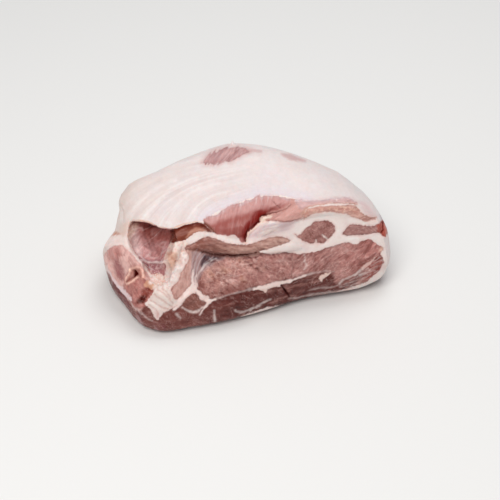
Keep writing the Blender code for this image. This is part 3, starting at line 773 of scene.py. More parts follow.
def node_tree_of_solids():
    """A search tree over all CAD solids, and the node's number for each of its triangles."""
    co, tris, owner = stacked([merged_node_mesh(name) for name in NODES])
    return BVHTree.FromPolygons(co.tolist(), tris.tolist()), owner


def unit_ball():
    """Vertices and triangles of a ball of radius 1."""
    ball = bmesh.new()
    bmesh.ops.create_icosphere(ball, subdivisions=2, radius=1.0)
    co = np.array([v.co[:] for v in ball.verts])
    tris = np.array([[v.index for v in f.verts] for f in ball.faces])
    ball.free()
    return co, tris


def sight_hit(tree, across, down):
    """Where the line of sight through a chart place meets a surface, or passes closest to it."""
    line = sight_line(across, down)
    hit = tree.ray_cast(Vector(CAMERA_PLACE), Vector(line))[0]
    if hit is None:
        tries = [tree.find_nearest(Vector(CAMERA_PLACE + line * far)) for far in np.arange(*SIGHT_TRIES)]
        hit = min(tries, key=lambda found: found[3])[0]
    return np.array(hit)


def balls_on_skin():
    """Centres and radii of the balls joined to the solids: slit filler, lumps and the flap's thick rim."""
    tree, _ = node_tree_of_solids()
    balls = []
    slit = curve(SLIT, step=1.1)
    for place, run in zip(slit, np.gradient(slit, axis=0)):
        across = np.array((-run[1], run[0])) / np.linalg.norm(run)
        middle = sum(sight_hit(tree, *(place + side * SLIT_REACH * across)) for side in (-1, 1)) / 2
        balls.append((middle - AXES[2] * SLIT_SUNK, SLIT_BALL))
    for row in np.arange(*FILL_ROWS):
        shift = max(0.0, (row - FILL_TURN) * FILL_SLANT)
        for across, radius, raised in HOLLOW_FILL:
            balls.append((sight_hit(tree, across + shift, row) + AXES[2] * raised * MM, radius * MM))
    for across, down, radius, sunk in LUMPS:
        balls.append((sight_hit(tree, across, down) - AXES[2] * sunk * MM, radius * MM))
    nub = sight_hit(tree, *CROWN_NUB)
    for rise, radius in NUB_BALLS:
        balls.append((nub + AXES[1] * rise * MM, radius * MM))
    draw = np.random.default_rng(7)
    for across, down in curve(FLAP_RAGGED, step=1.5):
        shift = draw.uniform(-RIM_ACROSS, RIM_ACROSS), draw.uniform(-RIM_DOWN, RIM_DOWN)
        place = sight_hit(tree, across + shift[0], down - RIM_ABOVE + shift[1])
        balls.append((place - AXES[2] * RIM_SUNK * MM, draw.uniform(*RIM_RADII) * MM))
    return balls


def squared_left(co):
    """The left end of the cap set in, so that its side stands up straight below the shoulder."""
    across, down = chart_of(co).T
    level = smoothstep(*INSET_TOP, down) * smoothstep(*INSET_FOOT, down)
    return co + AXES[0] * (LEFT_INSET * level * smoothstep(*INSET_ACROSS, across))[:, None]


def joined_skin():
    """The grown solids and the balls joined and remeshed as one closed surface."""
    shapes = [merged_node_mesh(name, grow=SEAM_CLOSING) for name in NODES]
    ball_co, ball_tris = unit_ball()
    shapes += [(centre + ball_co * radius, ball_tris) for centre, radius in balls_on_skin()]
    obj = new_mesh_object("skin_start", *stacked(shapes)[:2])
    remesh = obj.modifiers.new("even_grid", "REMESH")
    remesh.mode = "VOXEL"
    remesh.voxel_size = SKIN_GRID
    mesh = worked_mesh(obj)
    co, tris = outer_shell(*mesh_arrays(mesh))
    bpy.data.meshes.remove(mesh)
    edges = neighbours(tris)
    co = relaxed(co, edges, 0.5, 3)
    co = squared_left(co - vertex_normals(co, tris) * SEAM_CLOSING)
    for line, reach, rounds in ROUNDED:
        gap, _ = distance(chart_of(co), curve(line))
        amount = 0.5 * smoothstep(reach, 0.5 * reach, gap)
        co = relaxed(co, edges[(amount[edges] > 0).any(axis=1)], amount, rounds)
    return co, tris


def thinned_behind(co, tris):
    """The skin with fewer, larger triangles where the show camera doesn't look."""
    facing = vertex_normals(co, tris) @ AXES[2]
    obj = new_mesh_object("skin_thin", co, tris)
    group = obj.vertex_groups.new(name="hidden")
    hidden = np.flatnonzero(facing < TURNED_AWAY)
    group.add(hidden.tolist(), 1.0, "REPLACE")
    share = 1 - len(hidden) / len(co) * (1 - HIDDEN_KEEP)
    thin = obj.modifiers.new("fewer", "DECIMATE")
    thin.ratio = share
    thin.vertex_group = "hidden"
    thin.vertex_group_factor = 10.0
    thin.use_collapse_triangulate = True
    mesh = worked_mesh(obj)
    co, tris = mesh_arrays(mesh)
    bpy.data.meshes.remove(mesh)
    return co, tris


def seen_by_camera(co, tris, normals):
    """True at each vertex that the show camera sees."""
    tree = BVHTree.FromPolygons(co.tolist(), tris.tolist())
    to_camera = CAMERA_PLACE - co
    to_camera /= np.linalg.norm(to_camera, axis=1, keepdims=True)
    facing = np.einsum("ij,ij->i", normals, to_camera)
    seen = facing > TURNED_TO
    clearance = 1.2 * MM
    for i in np.flatnonzero(seen):
        start = co[i] + normals[i] * clearance + to_camera[i] * clearance
        if tree.ray_cast(Vector(start), Vector(to_camera[i]))[0] is not None:
            seen[i] = False
    return seen, facing, tree


# ==== Painting and relief. Both work on the arrays of the skin, place by place.
class Skin:
    """The skin's vertices with the fields that its looks are worked out from."""

    def __init__(self):
        co, tris = thinned_behind(*joined_skin())
        self.co, self.tris = co, tris
        self.edges = neighbours(tris)
        self.normals = vertex_normals(co, tris)
        tree, owner = node_tree_of_solids()
        found = [tree.find_nearest(Vector(p))[2] for p in co]
        self.layer = owner[np.array(found)]
        self.seen, self.facing, self.tree = seen_by_camera(co, tris, self.normals)
        self.chart = chart_of(co)
        # A small wander of the chart keeps drawn outlines from looking ruled.
        wander = np.stack((rough_noise(co, 5 * MM, 11), rough_noise(co, 5 * MM, 21)), axis=1)
        jitter = np.stack((noise(co, 1.7 * MM, 15), noise(co, 1.7 * MM, 25)), axis=1)
        self.wandered = self.chart + 1.0 * wander + 0.5 * jitter
        self.cap = self.layer == NODES.index("fat_cap")
        # Behind and on both ends the cap wraps all of the joint down to its foot.
        rise = smoothstep(*LEFT_END, co[:, 0] / MM)
        self.foot = CAP_FOOT * (1 + 0.4 * rough_noise(co, 24 * MM, 13) + 0.5 * rise)
        self.inner = ~self.seen & np.all((co > INNER_LOW) & (co < INNER_HIGH), axis=1)
        turned = (self.normals @ AXES[2] < -0.1) | (co[:, 0] < LEFT_END[0] * MM)
        behind = ~self.seen & ~self.inner & turned & (co[:, 2] > self.foot)
        self.cap |= behind
        # Just under the flap's free edge the skin is torn muscle, not cap.
        self.cap &= ~(self.seen & (depth_in(self.chart, UNDER_FLAP) > 0))
        self.open = self.seen & ~self.cap
        count = len(co)
        self.height = np.zeros(count)
        self.fat = np.where(self.cap, FAR, -FAR).astype(float)
        self.lean_tone = np.tile(linear("underside"), (count, 1))
        self.fat_tone = np.tile(linear("cap"), (count, 1))
        self.grain = co.copy()
        self.coarse = np.ones(count)
        self.film = np.zeros(count)
        self.sheen = np.ones(count)

    def fine(self, size, seed, fibres=None):
        """Noise of one size in millimetres, drawn out along fibres (angle, stretch) where they are given."""
        places = self.co if fibres is None else fibre_places(self.co, *fibres)
        return noise(places, size * MM, seed)

    def rough(self, size, seed, octaves=3, fibres=None):
        """Noise of several sizes, the largest in millimetres."""
        places = self.co if fibres is None else fibre_places(self.co, *fibres)
        return rough_noise(places, size * MM, seed, octaves)

    def tone_lean(self, colour, share):
        """Brings the tone of the lean nearer to a colour, by a share at each vertex."""
        self.lean_tone += share[:, None] * (linear(colour) - self.lean_tone)

    def tone_fat(self, colour, share):
        """The same for the tone of the fat."""
        self.fat_tone += share[:, None] * (linear(colour) - self.fat_tone)


def wisps(places, size, seed, width=0.08):
    """Thin curling lines: 1 along each line, falling to 0 beside it."""
    return smoothstep(width, 0.0, np.abs(rough_noise(places, size, seed, octaves=2)))


def dull(skin, mask):
    """Less mirror light where the surface is deep in a fold."""
    skin.sheen *= 1 - np.clip(mask, 0, 1)


def over(skin, name, shift=0.0):
    """How far in each place of the chart is over a named span, from 0 to 1."""
    share = np.ones(len(skin.chart))
    for column, ends in enumerate(SPANS[name]):
        if ends:
            share = share * smoothstep(*ends, skin.chart[:, column] + shift)
    return share


def fibre_places(co, angle, stretch):
    """Places squeezed along fibres at `angle` degrees on the chart, so that noise draws out along them."""
    a = math.radians(angle)
    along = AXES[0] * math.cos(a) + AXES[1] * math.sin(a)
    across = -AXES[0] * math.sin(a) + AXES[1] * math.cos(a)
    return np.stack((co @ across, co @ along / stretch, co @ AXES[2] / stretch), axis=1)


def lean_area(skin, outline, colour, where=None, bulge=0.0, groove=0.0, fibres=None, coarse=None, film=None):
    """An area of lean on the show side: its edge, tone and swell, and the way its fibres run."""
    where = skin.seen if where is None else skin.seen & where
    depth = np.where(where, depth_in(skin.wandered, outline), -FAR)
    skin.fat = np.where(where, np.minimum(skin.fat, -depth), skin.fat)
    skin.tone_lean(colour, smoothstep(-4.0, -1.0, depth))
    skin.height += bulge * smoothstep(0.0, 7.0, depth) - groove * bell(depth, 1.3)
    inside = depth > -1.5
    if fibres is not None:
        skin.grain[inside] = fibre_places(skin.co[inside], *fibres)
    if coarse is not None:
        skin.coarse[inside] = coarse
    if film is not None:
        skin.film = np.maximum(skin.film, film * smoothstep(-1.5, 2.0, depth))
    return depth


def fat_area(skin, outline, colour, where=None, bulge=0.0):
    """An area of fat laid over what is drawn before it."""
    where = skin.seen if where is None else skin.seen & where
    depth = np.where(where, depth_in(skin.wandered, outline), -FAR)
    skin.fat = np.where(where, np.maximum(skin.fat, depth), skin.fat)
    skin.tone_fat(colour, smoothstep(-3.0, 0.0, depth))
    skin.height += bulge * smoothstep(-1.0, 5.0, depth)


def soft_area(skin, outline, soft, where=None):
    """A mask with a soft border: `soft` units to each side of the outline, or between two depths in it."""
    low, high = soft if isinstance(soft, tuple) else (-soft, soft)
    seen = skin.seen if where is None else skin.seen & where
    return smoothstep(low, high, depth_in(skin.wandered, outline)) * seen


def tint_lean(skin, outline, colour, soft=3.0, share=1.0, where=None):
    skin.tone_lean(colour, share * soft_area(skin, outline, soft, where))


def tint_fat(skin, outline, colour, soft=3.0, share=1.0, where=None):
    skin.tone_fat(colour, share * soft_area(skin, outline, soft, where))


def fat_seam(skin, points, widths, white=1.0, proud=0.25, where=None):
    """A thin seam of fat along a line. Its half width changes from start to middle to end, and a faint seam
    only tints the lean."""
    where = skin.open if where is None else where
    gap, along = distance(skin.wandered, curve(points))
    width = np.interp(along, (0.0, 0.5, 1.0), widths)
    width = width + 1.1 * skin.fine(3.0, 31) * np.minimum(width, 1.0)
    depth = np.where(where, width - gap, -FAR)
    if white > SOLID_WHITE:
        skin.fat = np.where(where, np.maximum(skin.fat, depth), skin.fat)
        skin.tone_fat("white_fat", smoothstep(-3.0, -0.5, depth))
    skin.tone_lean("seam_fat", 0.8 * white * smoothstep(-1.3, 0.6, depth))
    skin.height += proud * white * bell(gap, np.maximum(width, 0.3) + 0.8) * where


def line_mask(skin, points, half_width, where=None):
    """A soft line: 1 along it, falling away to each side."""
    gap, _ = distance(skin.wandered, curve(points))
    return bell(gap, half_width) * (skin.seen if where is None else where)


def paint_cap(skin):
    """Tone and pleats of the fat cap, with painted shade in the pleats and painted light on their ridges and
    streaks.
    """
    low = skin.rough(26, 41)
    skin.tone_fat("cap_left", 0.9 * over(skin, "cap_left") * skin.cap)
    # The cap goes tan and darker towards its far left, partly as painted shade.
    skin.tone_fat("cap_far_left_tan_and_shade", over(skin, "cap_far_left_tan_and_shade", 8 * low) * skin.cap)
    skin.tone_fat("cap_lilac", 0.6 * smoothstep(0.0, 0.8, low) * skin.cap)
    feather, _ = distance(skin.chart, curve(BELLY_TOP))
    skin.tone_fat("cap_lilac", 0.7 * smoothstep(14.0, 2.0, feather) * skin.cap * skin.seen)
    turned = skin.seen * skin.cap * smoothstep(0.0, 0.4, skin.facing)
    pleat_wander = skin.rough(14, 45)
    # Pleat grooves get painted shade and pleat ridges painted light.
    for line in PLEATS:
        mask = line_mask(skin, line, 2.6, turned) * (0.65 + 0.5 * pleat_wander)
        skin.height -= 0.24 * mask
        skin.tone_fat("pleat", 0.55 * np.clip(mask, 0, 1))
    for line in PLEAT_RIDGES:
        mask = line_mask(skin, line, 2.2, turned) * (0.65 - 0.5 * pleat_wander)
        skin.height += 0.2 * mask
        skin.tone_fat("pleat_light_and_white_fat", 0.6 * np.clip(mask, 0, 1))
    # Streaks between the guides: painted shade in their grooves, painted light on their crests.
    streaks, share = guided_streaks(skin, PLEAT_GUIDES, 26.0, 51)
    zone = over(skin, "pleated") * smoothstep(-0.02, 0.1, share) * smoothstep(1.02, 0.9, share) * turned
    skin.tone_fat("pleat", 0.55 * np.clip(streaks, 0, 1) * zone)
    skin.tone_fat("pleat_light_and_white_fat", 0.6 * np.clip(-streaks, 0, 1) * zone)
    skin.height -= 0.12 * streaks * zone
    skin.fat_tone *= (1 + 0.05 * skin.rough(2.2, 55) * skin.cap)[:, None]


def paint_cap_back(skin):
    """Wrinkles and faint patches where the cap turns away behind, and its broad unevenness all over."""
    back = skin.cap * smoothstep(0.0, -0.4, skin.facing)
    wrinkles = rough_noise(skin.co * (0.28, 1.0, 1.0), 9 * MM, 57)
    skin.fat_tone *= (1 + 0.06 * wrinkles * back)[:, None]
    skin.height += 0.5 * wrinkles * back
    skin.tone_fat("blush", 0.8 * smoothstep(0.2, 0.7, skin.rough(30, 59)) * back)
    skin.tone_fat("cap_left", 0.7 * smoothstep(0.0, 0.6, skin.rough(17, 60)) * back)
    skin.height += 0.10 * skin.rough(5, 61) * skin.cap
    skin.height += 0.35 * skin.rough(22, 65) * skin.cap


def paint_crown(skin):
    """Lean that shows through the cap at its crown, and the edge and the underside of the flap."""
    on_cap = skin.seen & skin.cap
    fan = crown_fan(skin)
    depth = np.where(on_cap, depth_in(skin.wandered, CROWN_PATCH), -FAR)
    frayed = -depth + 0.6 + 2.2 * np.clip(fan, -0.4, 1)
    skin.fat = np.where(on_cap, np.minimum(skin.fat, frayed), skin.fat)
    skin.tone_lean("crown_patch", smoothstep(-4.0, -1.0, depth))
    skin.height -= 0.35 * smoothstep(-1.0, 3.0, depth)
    inside = depth > -1.5
    skin.grain[inside] = fibre_places(skin.co[inside], 52, 6.0)
    far = depth_in(skin.wandered, FAR_PATCH)
    for patch, share, soft in ((depth, 0.55, 5.0), (far, 0.85, 2.0)):
        skin.tone_fat("far_patch", share * (1 + 0.2 * fan) * smoothstep(-soft, 1.5, patch) * on_cap)
    skin.tone_fat("far_patch", 0.8 * line_mask(skin, CROWN_TAIL, 1.8, on_cap))
    edge, _ = distance(skin.chart, curve(FLAP_EDGE))
    skin.tone_fat("flap_edge", 0.85 * smoothstep(2.0, 0.4, edge) * on_cap)
    skin.tone_fat("flap_under", 0.9 * (skin.cap & skin.inner))


def guided_streaks(skin, guides, count, seed):
    """Noise in streaks that run between two curved guides, and the share of the way from first to second."""
    top, along = distance(skin.chart, curve(guides[0]), reach=GUIDE_REACH)
    bottom, _ = distance(skin.chart, curve(guides[1]), reach=GUIDE_REACH)
    share = top / np.maximum(top + bottom, 1e-6)
    places = np.stack((share * count, along * 2.5, np.zeros(len(share))), axis=1)
    return rough_noise(places, 1.0, seed, octaves=2), share


def crown_fan(skin):
    """Fine streaks that fan out from below the crown patch, from -1 to 1."""
    x, y = (skin.chart - FAN_CENTRE).T
    angle = np.degrees(np.arctan2(-y, x))
    places = np.stack((angle / FAN_DEGREES, np.hypot(x, y) / FAN_LENGTH, np.zeros(len(x))), axis=1)
    return noise(places, 1.0, 71)


def paint_belly(skin):
    """The bared upper muscle, with the fat feathered over its top edge in combed streaks."""
    combed = (skin.chart / COMB_STRETCH).T
    comb = rough_noise(np.stack((*combed, np.zeros(len(skin.co))), axis=1), 1.0, 81)
    depth = depth_in(skin.wandered, BELLY)
    top_edge, _ = distance(skin.chart, curve(BELLY_TOP))
    feather = over(skin, "feathered") * smoothstep(7.0, 4.0, top_edge)
    depth = np.where(skin.seen, depth - feather * (0.9 + 3.2 * np.clip(comb, -0.3, 1.0)), -FAR)
    skin.fat = np.where(skin.seen, np.minimum(skin.fat, -depth), skin.fat)
    skin.tone_lean("belly", smoothstep(-5.0, -2.0, depth))
    belly = depth > -2.5
    skin.coarse[belly] = 0.4
    skin.grain[belly] = fibre_places(skin.co[belly], 80, 7.0)
    skin.height += 0.5 * smoothstep(0.0, 8.0, depth)
    tint_lean(skin, BELLY_RED, "belly_red", soft=3.4, share=0.85)
    # Painted shade: the belly goes darker red towards the steep part of the cleft.
    skin.tone_lean("cleft", 0.45 * line_mask(skin, CLEFT_STEEP, 7.0) * smoothstep(0.0, 4.0, depth))
    film = smoothstep(4.5, -0.5, depth) * feather * (depth > -3)
    skin.tone_lean("cap_lilac", film * (0.35 + 0.35 * np.clip(comb, -1, 1)))
    for across, top, bottom, strength in FEATHER_STREAKS:
        line = [(across, top), (across - 0.3, (top + bottom) / 2), (across, bottom)]
        mask = strength * line_mask(skin, line, 0.6)
        skin.tone_lean("pleat_light_and_white_fat", 0.8 * mask * smoothstep(top + 1.0, bottom, skin.chart[:, 1]))
    fibre_light = skin.fine(1.5, 91, (80, 9.0))
    skin.tone_lean("belly", 0.3 * np.clip(fibre_light, 0, 1) * smoothstep(-1.0, 1.0, depth))


def paint_cleft(skin):
    """The lip, the cleft beside it painted dark red as the fold's shade with a darker line of painted shade
    deep in it, the lip's edge with a painted highlight, and its knob.
    """
    lip = lean_area(skin, LIP, "lip", fibres=(35, 4.0), coarse=0.5)
    # The cleft's red is painted dark as the shade in the fold.
    cleft = lean_area(skin, CLEFT, "cleft", coarse=0.4)
    tint_lean(skin, CLEFT, "cleft", soft=1.0)
    # Painted shade: a dark line deep in the fold, and pink-brown on the fat beside it, as the fold's shade
    # lit red by the meat.
    gap, along = distance(skin.wandered, curve(CLEFT_LINE))
    fold = bell(gap, np.interp(along, (0.0, 0.6, 1.0), (1.0, 0.8, 0.5))) * skin.seen
    fading = np.interp(along, (0.5, 1.0), (1.0, 0.35))
    skin.tone_lean("fold_line_shade", 0.8 * fold * fading)
    skin.fat = np.where(fold > 0.5, -1.0, skin.fat)
    skin.tone_fat("lip_rim_red_shade", 0.8 * line_mask(skin, CLEFT_LINE, 2.6))
    skin.height -= 0.8 * fold * fading + 0.6 * smoothstep(-0.5, 3.0, cleft)
    dull(skin, np.maximum(fold, 0.8 * smoothstep(-1.0, 1.0, cleft)))
    # Painted highlight along the lip's raised, rolled edge.
    edge = line_mask(skin, LIP_EDGE, 1.0)
    skin.tone_fat("knob", 0.9 * edge)
    skin.height += 0.5 * edge
    skin.height += 0.3 * smoothstep(0.0, 4.0, lip)
    fat_area(skin, LIP_KNOB, "knob", bulge=0.7)


def paint_salmon_band(skin):
    """The salmon band above the seam fat, and the speckled fringe between it and the cap."""
    fringe = lean_area(skin, CAP_FRINGE, "fringe", fibres=(10, 3.0))
    faded = smoothstep(3.0, 0.0, fringe) * (fringe > -3) * over(skin, "high_fringe")
    skin.tone_lean("cap_lilac", 0.6 * faded)
    tint_fat(skin, CAP_BLUSH, "blush", soft=(-3.0, 2.0), share=0.8)
    band = lean_area(skin, SALMON_BAND, "salmon", bulge=0.15, groove=0.2, fibres=(0, 4.0))
    skin.tone_lean("salmon_core", 0.8 * line_mask(skin, SALMON_CORE, 2.0))
    beads = smoothstep(-0.1, 0.5, skin.fine(1.6, 95))
    cream = line_mask(skin, CREAM_LINE, 1.0)
    skin.tone_lean("cream", 0.65 * cream)
    skin.tone_lean("salmon_core", 0.6 * beads * line_mask(skin, CREAM_LINE, 1.6))
    skin.height += 0.15 * cream
    specks = smoothstep(0.15, 0.55, skin.rough(2.6, 97))
    skin.tone_lean("pleat_light_and_white_fat", 0.7 * specks * (fringe > -1) * over(skin, "speckled_fringe"))
    grains = smoothstep(0.15, 0.55, skin.fine(1.4, 99)) * smoothstep(-1.0, 1.0, band)
    skin.tone_lean("cream", 0.4 * grains)
    skin.height += 0.2 * grains


def paint_seam_fat(skin):
    """The broad seam fat, with the eye and flat muscles and a small vessel in it."""
    skin.tone_fat("seam_fat", skin.open * 1.0)
    lilac = skin.fine(2.4, 101, (22, 5.0))
    zone = smoothstep(-6.0, 4.0, depth_in(skin.chart, LILAC_ZONE)) * skin.seen
    skin.tone_fat("seam_lilac", 0.9 * zone * smoothstep(-0.2, 0.6, lilac))
    for line in LILAC_LINES:
        skin.tone_fat("seam_lilac", 0.7 * line_mask(skin, line, 0.7))
    skin.height += 0.35 * lilac * zone + 0.3 * skin.rough(5.0, 109) * skin.open
    lean_area(skin, EYE_MUSCLE, "eye", bulge=0.25, groove=0.3)
    lean_area(skin, FLAT_MUSCLE, "flat", bulge=0.2, groove=0.3, fibres=(0, 2.5))
    for notch in EYE_NOTCHES:
        fat_seam(skin, notch, (0.5, 0.35, 0.15), proud=0.0, where=skin.seen)
    lean_area(skin, VESSEL_ZONE, "vessel", fibres=(80, 3.0))
    skin.tone_lean("torn_red_and_shade", 0.8 * line_mask(skin, VESSEL_SHADE, 1.5))
    skin.tone_lean("vessel_line", line_mask(skin, VESSEL_LINE, 0.9))
    skin.height -= 0.8 * line_mask(skin, VESSEL_LINE, 1.0)
    dull(skin, line_mask(skin, VESSEL_LINE, 1.2))
    skin.tone_fat("vein", 0.75 * line_mask(skin, VEIN_LINE, 1.5))
    skin.tone_fat("fringe", 0.3 * smoothstep(0.0, 0.7, skin.rough(9, 105)) * skin.open)


def paint_lean_face(skin):
    """The lean under the seam fat: its ragged rim, then its muscles."""
    below = ~skin.cap
    # The lean starts as the deep red of the bottom muscle, darkened as painted shade.
    face = lean_area(skin, LEAN_FACE, "bottom", where=below)
    ragged = 2.0 * skin.fine(2.6, 107, (30, 2.0)) * over(skin, "ragged_rim")
    skin.fat = np.where(below & skin.seen & (face > -4), np.maximum(skin.fat, -face + ragged), skin.fat)
    tint_lean(skin, MAIN_MUSCLE, "main", soft=2.0, where=below)
    lean = skin.open & (depth_in(skin.chart, LEAN_FACE) > -2)
    main = depth_in(skin.wandered, MAIN_MUSCLE)
    on_main = smoothstep(-1, 2, main) * lean
    skin.tone_lean("main_right", 0.7 * over(skin, "main_right") * lean)
    paint_main_muscle(skin, lean, main, on_main)
    paint_bottom_muscle(skin, lean * smoothstep(1.0, -2.0, main))
    paint_torn_side(skin, lean, main, on_main)
    paint_striped_muscle(skin, lean)
    paint_nick(skin)


def paint_main_muscle(skin, lean, main, on_main):
    """Fibres, marbling curls and warm blotches of the main muscle."""
    pale = smoothstep(-4, 4, depth_in(skin.wandered, PALE_PATCH)) * smoothstep(-2, 3, main) * lean
    skin.tone_lean("main_pale", 0.6 * pale)
    skin.height += 0.35 * smoothstep(0.0, 7.0, main) * lean
    skin.height += (0.22 + 0.45 * pale) * skin.rough(4.5, 111) * lean
    skin.coarse[lean] = 1.2
    right = skin.chart[:, 0] > GRAIN_TURN
    for side, fibres in ((lean & right, (36, 2.6)), (lean & ~right, (-28, 1.5))):
        skin.grain[side] = fibre_places(skin.co[side], *fibres)
    broken = smoothstep(-0.3, 0.3, skin.fine(9, 117))
    curls = wisps(fibre_places(skin.co, -28, 1.6), 5.5 * MM, 113, 0.09) * broken
    small_curls = wisps(fibre_places(skin.co, 40, 2.2), 3.2 * MM, 119, 0.08)
    curls = np.maximum(curls * over(skin, "broad_curls"), 0.6 * small_curls)
    skin.tone_lean("fleck", 0.5 * curls * on_main)
    skin.height += 0.3 * curls * on_main
    warm = smoothstep(0.05, 0.6, skin.rough(6.0, 115))
    skin.tone_lean("main_warm", 0.6 * warm * over(skin, "warm_main") * on_main)
    skin.lean_tone *= (1 + 0.24 * skin.rough(3.0, 123) * lean)[:, None]


def paint_bottom_muscle(skin, on_bottom):
    """Pale and dark streaks of the bottom muscle."""
    streaks = skin.rough(2.4, 125, fibres=(12, 5.0))
    skin.coarse = np.where(on_bottom > 0.5, 0.85, skin.coarse)
    skin.tone_lean("main_pale", 0.4 * smoothstep(0.15, 0.6, streaks) * on_bottom)
    skin.lean_tone *= (1 - 0.3 * smoothstep(0.0, 0.7, -streaks) * on_bottom)[:, None]


def paint_torn_side(skin, lean, main, on_main):
    """The swollen, torn left side of the lean face: its foot, pits and rip painted darker as shade."""
    x, y = skin.chart.T
    skin.height += 1.2 * smoothstep(0.0, 9.0, main) * over(skin, "swollen") * lean
    # Painted shade along the lower edge of the swollen main muscle.
    skin.tone_lean("main_foot_shade", smoothstep(13.0, 4.0, main) * over(skin, "main_foot_shade") * on_main)
    rough = np.abs(skin.rough(6.0, 127)) - 0.2
    skin.height += rough * over(skin, "torn_main") * on_main
    # Sunk pits, painted darker as the shade in them.
    for across, down, size in SMALL_PITS:
        mask = np.exp(-(((x - across) ** 2 + ((y - down) * 1.3) ** 2) / size**2)) * lean
        skin.height -= 0.9 * mask
        skin.tone_lean("bottom", 0.45 * mask)
    skin.tone_lean("bottom_left", 0.4 * over(skin, "bottom_left") * lean)
    skin.tone_lean("low_left", 0.9 * over(skin, "low_left") * lean)
    # A sunk rip, painted darker as the shade in it.
    rip = line_mask(skin, LOW_TORN, 1.5)
    skin.height -= 0.7 * rip
    skin.tone_lean("bottom", 0.35 * rip)
    patches = skin.rough(11, 116, 2)
    skin.lean_tone *= (1 + 0.22 * patches * on_main)[:, None]


def paint_striped_muscle(skin, lean):
    """The small striped muscle at the right rim, its thin seams and the pale patches near it."""
    striped = depth_in(skin.wandered, STRIPED_MUSCLE)
    stripes = skin.rough(1.3, 121, 2, (36, 4.0))
    area = smoothstep(-2, 1, striped) * lean
    core = smoothstep(-1, 2, striped) * lean
    skin.tone_lean("striped", area)
    skin.tone_lean("bottom", 0.8 * over(skin, "dark_stripes") * area)
    skin.tone_lean("bottom", 0.6 * line_mask(skin, STRIPED_EDGE, 1.3, lean))
    skin.tone_lean("cream", 0.8 * line_mask(skin, RIM_GLEAM, 1.6, lean))
    skin.tone_lean("seam_fat", 0.45 * smoothstep(0.1, 0.5, stripes) * core * over(skin, "fat_stripes"))
    skin.height += 0.3 * stripes * core
    inside = lean & (striped > 0)
    skin.grain[inside] = fibre_places(skin.co[inside], 34, 3.5)
    skin.coarse[inside] = 1.7
    for line in STRIPES:
        fat_seam(skin, line, (0.05, 0.25, 0.1), 0.5, proud=0.15)
    for patch, colour in ((PALE_WEDGE, "fleck"), (SEAM_BLOB, "torn_white"), (HOOK_PATCH, "torn_white")):
        fat_area(skin, patch, colour, where=lean, bulge=0.3)


def paint_nick(skin):
    """A short knife cut in the lean, widest near its middle, painted near black as the shade in it, with
    painted shade round it.
    """
    nick, along = distance(skin.chart, curve(NICK))
    width = np.interp(along, (0.0, 0.45, 1.0), (0.35, 0.9, 0.35))
    # Painted shade round the cut and near black inside it.
    skin.tone_lean("fold_line_shade", 0.6 * smoothstep(2.4, 0.8, nick) * skin.seen)
    skin.tone_lean("nick", smoothstep(width + 0.4, width - 0.2, nick) * skin.seen)
    skin.height -= 1.8 * bell(nick, width) * skin.seen
    dull(skin, bell(nick, width + 0.5))
    skin.fat = np.where(skin.open & (nick < 1.4), -1.5, skin.fat)


def paint_left_end(skin):
    """The left end: its fat, the hollow under the flap, the wedge, the torn knot and the small muscles."""
    below = ~skin.cap | (skin.normals[:, 2] < 0.1)
    skirt = soft_area(skin, LEFT_SKIN, (-1.0, 2.0), skin.open)
    bands = skin.rough(2.2, 153, 2, (-56, 9.0))
    paint_left_fat(skin, below)
    paint_hollow(skin, below)
    lean_area(skin, WEDGE, "wedge", where=below, bulge=0.3, fibres=(-62, 4.0), coarse=0.8)
    tint_lean(skin, WEDGE_MID, "wedge_mid", soft=2.5)
    tint_lean(skin, WEDGE_DARK, "wedge_dark", soft=2.5)
    skin.tone_lean("left_streak", 0.55 * smoothstep(0.1, 0.45, bands) * skirt)
    skin.tone_lean("left_dark", 0.8 * smoothstep(0.05, -0.3, bands) * skirt)
    paint_torn_knot(skin, below)
    fat_area(skin, LILAC_BAND, "lilac", where=below)
    skin.tone_fat("left_streak", 0.7 * smoothstep(-0.15, 0.3, bands) * skirt)
    paint_torn_fat(skin, below)
    lean_area(skin, SIDE_MUSCLE, "side_muscle", where=below, bulge=0.2, groove=0.2, fibres=(80, 4.0))
    lean_area(skin, OVAL_MUSCLE, "oval", where=below, bulge=0.4, groove=0.3, coarse=0.7)
    lean_area(skin, MEMBRANE, "membrane", where=below, fibres=(62, 6.0), coarse=0.6, film=0.3)
    # Painted shadow on the membrane under the roll.
    tint_lean(skin, MEMBRANE_SHADOW, "membrane_in_shadow", soft=1.6, where=below)
    # Where the left rim turns away from the camera it takes the same far-left tone.
    rim = smoothstep(0.4, 0.05, skin.facing) * skin.open * (skin.co[:, 0] < LEFT_RIM)
    skin.tone_fat("cap_far_left_tan_and_shade", rim)


def paint_left_fat(skin, below):
    """The lumpy fat that the left end is drawn on, with its tan and blushed places."""
    fat_area(skin, LEFT_FAT, "cap_left", where=below)
    lumpy = over(skin, "lumpy_left") * skin.open
    skin.height += 0.5 * skin.rough(4.5, 129) * lumpy
    skin.tone_fat("left_tan", 0.45 * smoothstep(0.0, 0.6, skin.rough(7, 128)) * lumpy)
    tint_fat(skin, LEFT_TAN, "left_tan", soft=(-3, 2), share=0.5, where=skin.open)
    tint_fat(skin, LEFT_BLUSH, "left_blush", soft=(-2, 1), where=skin.open)


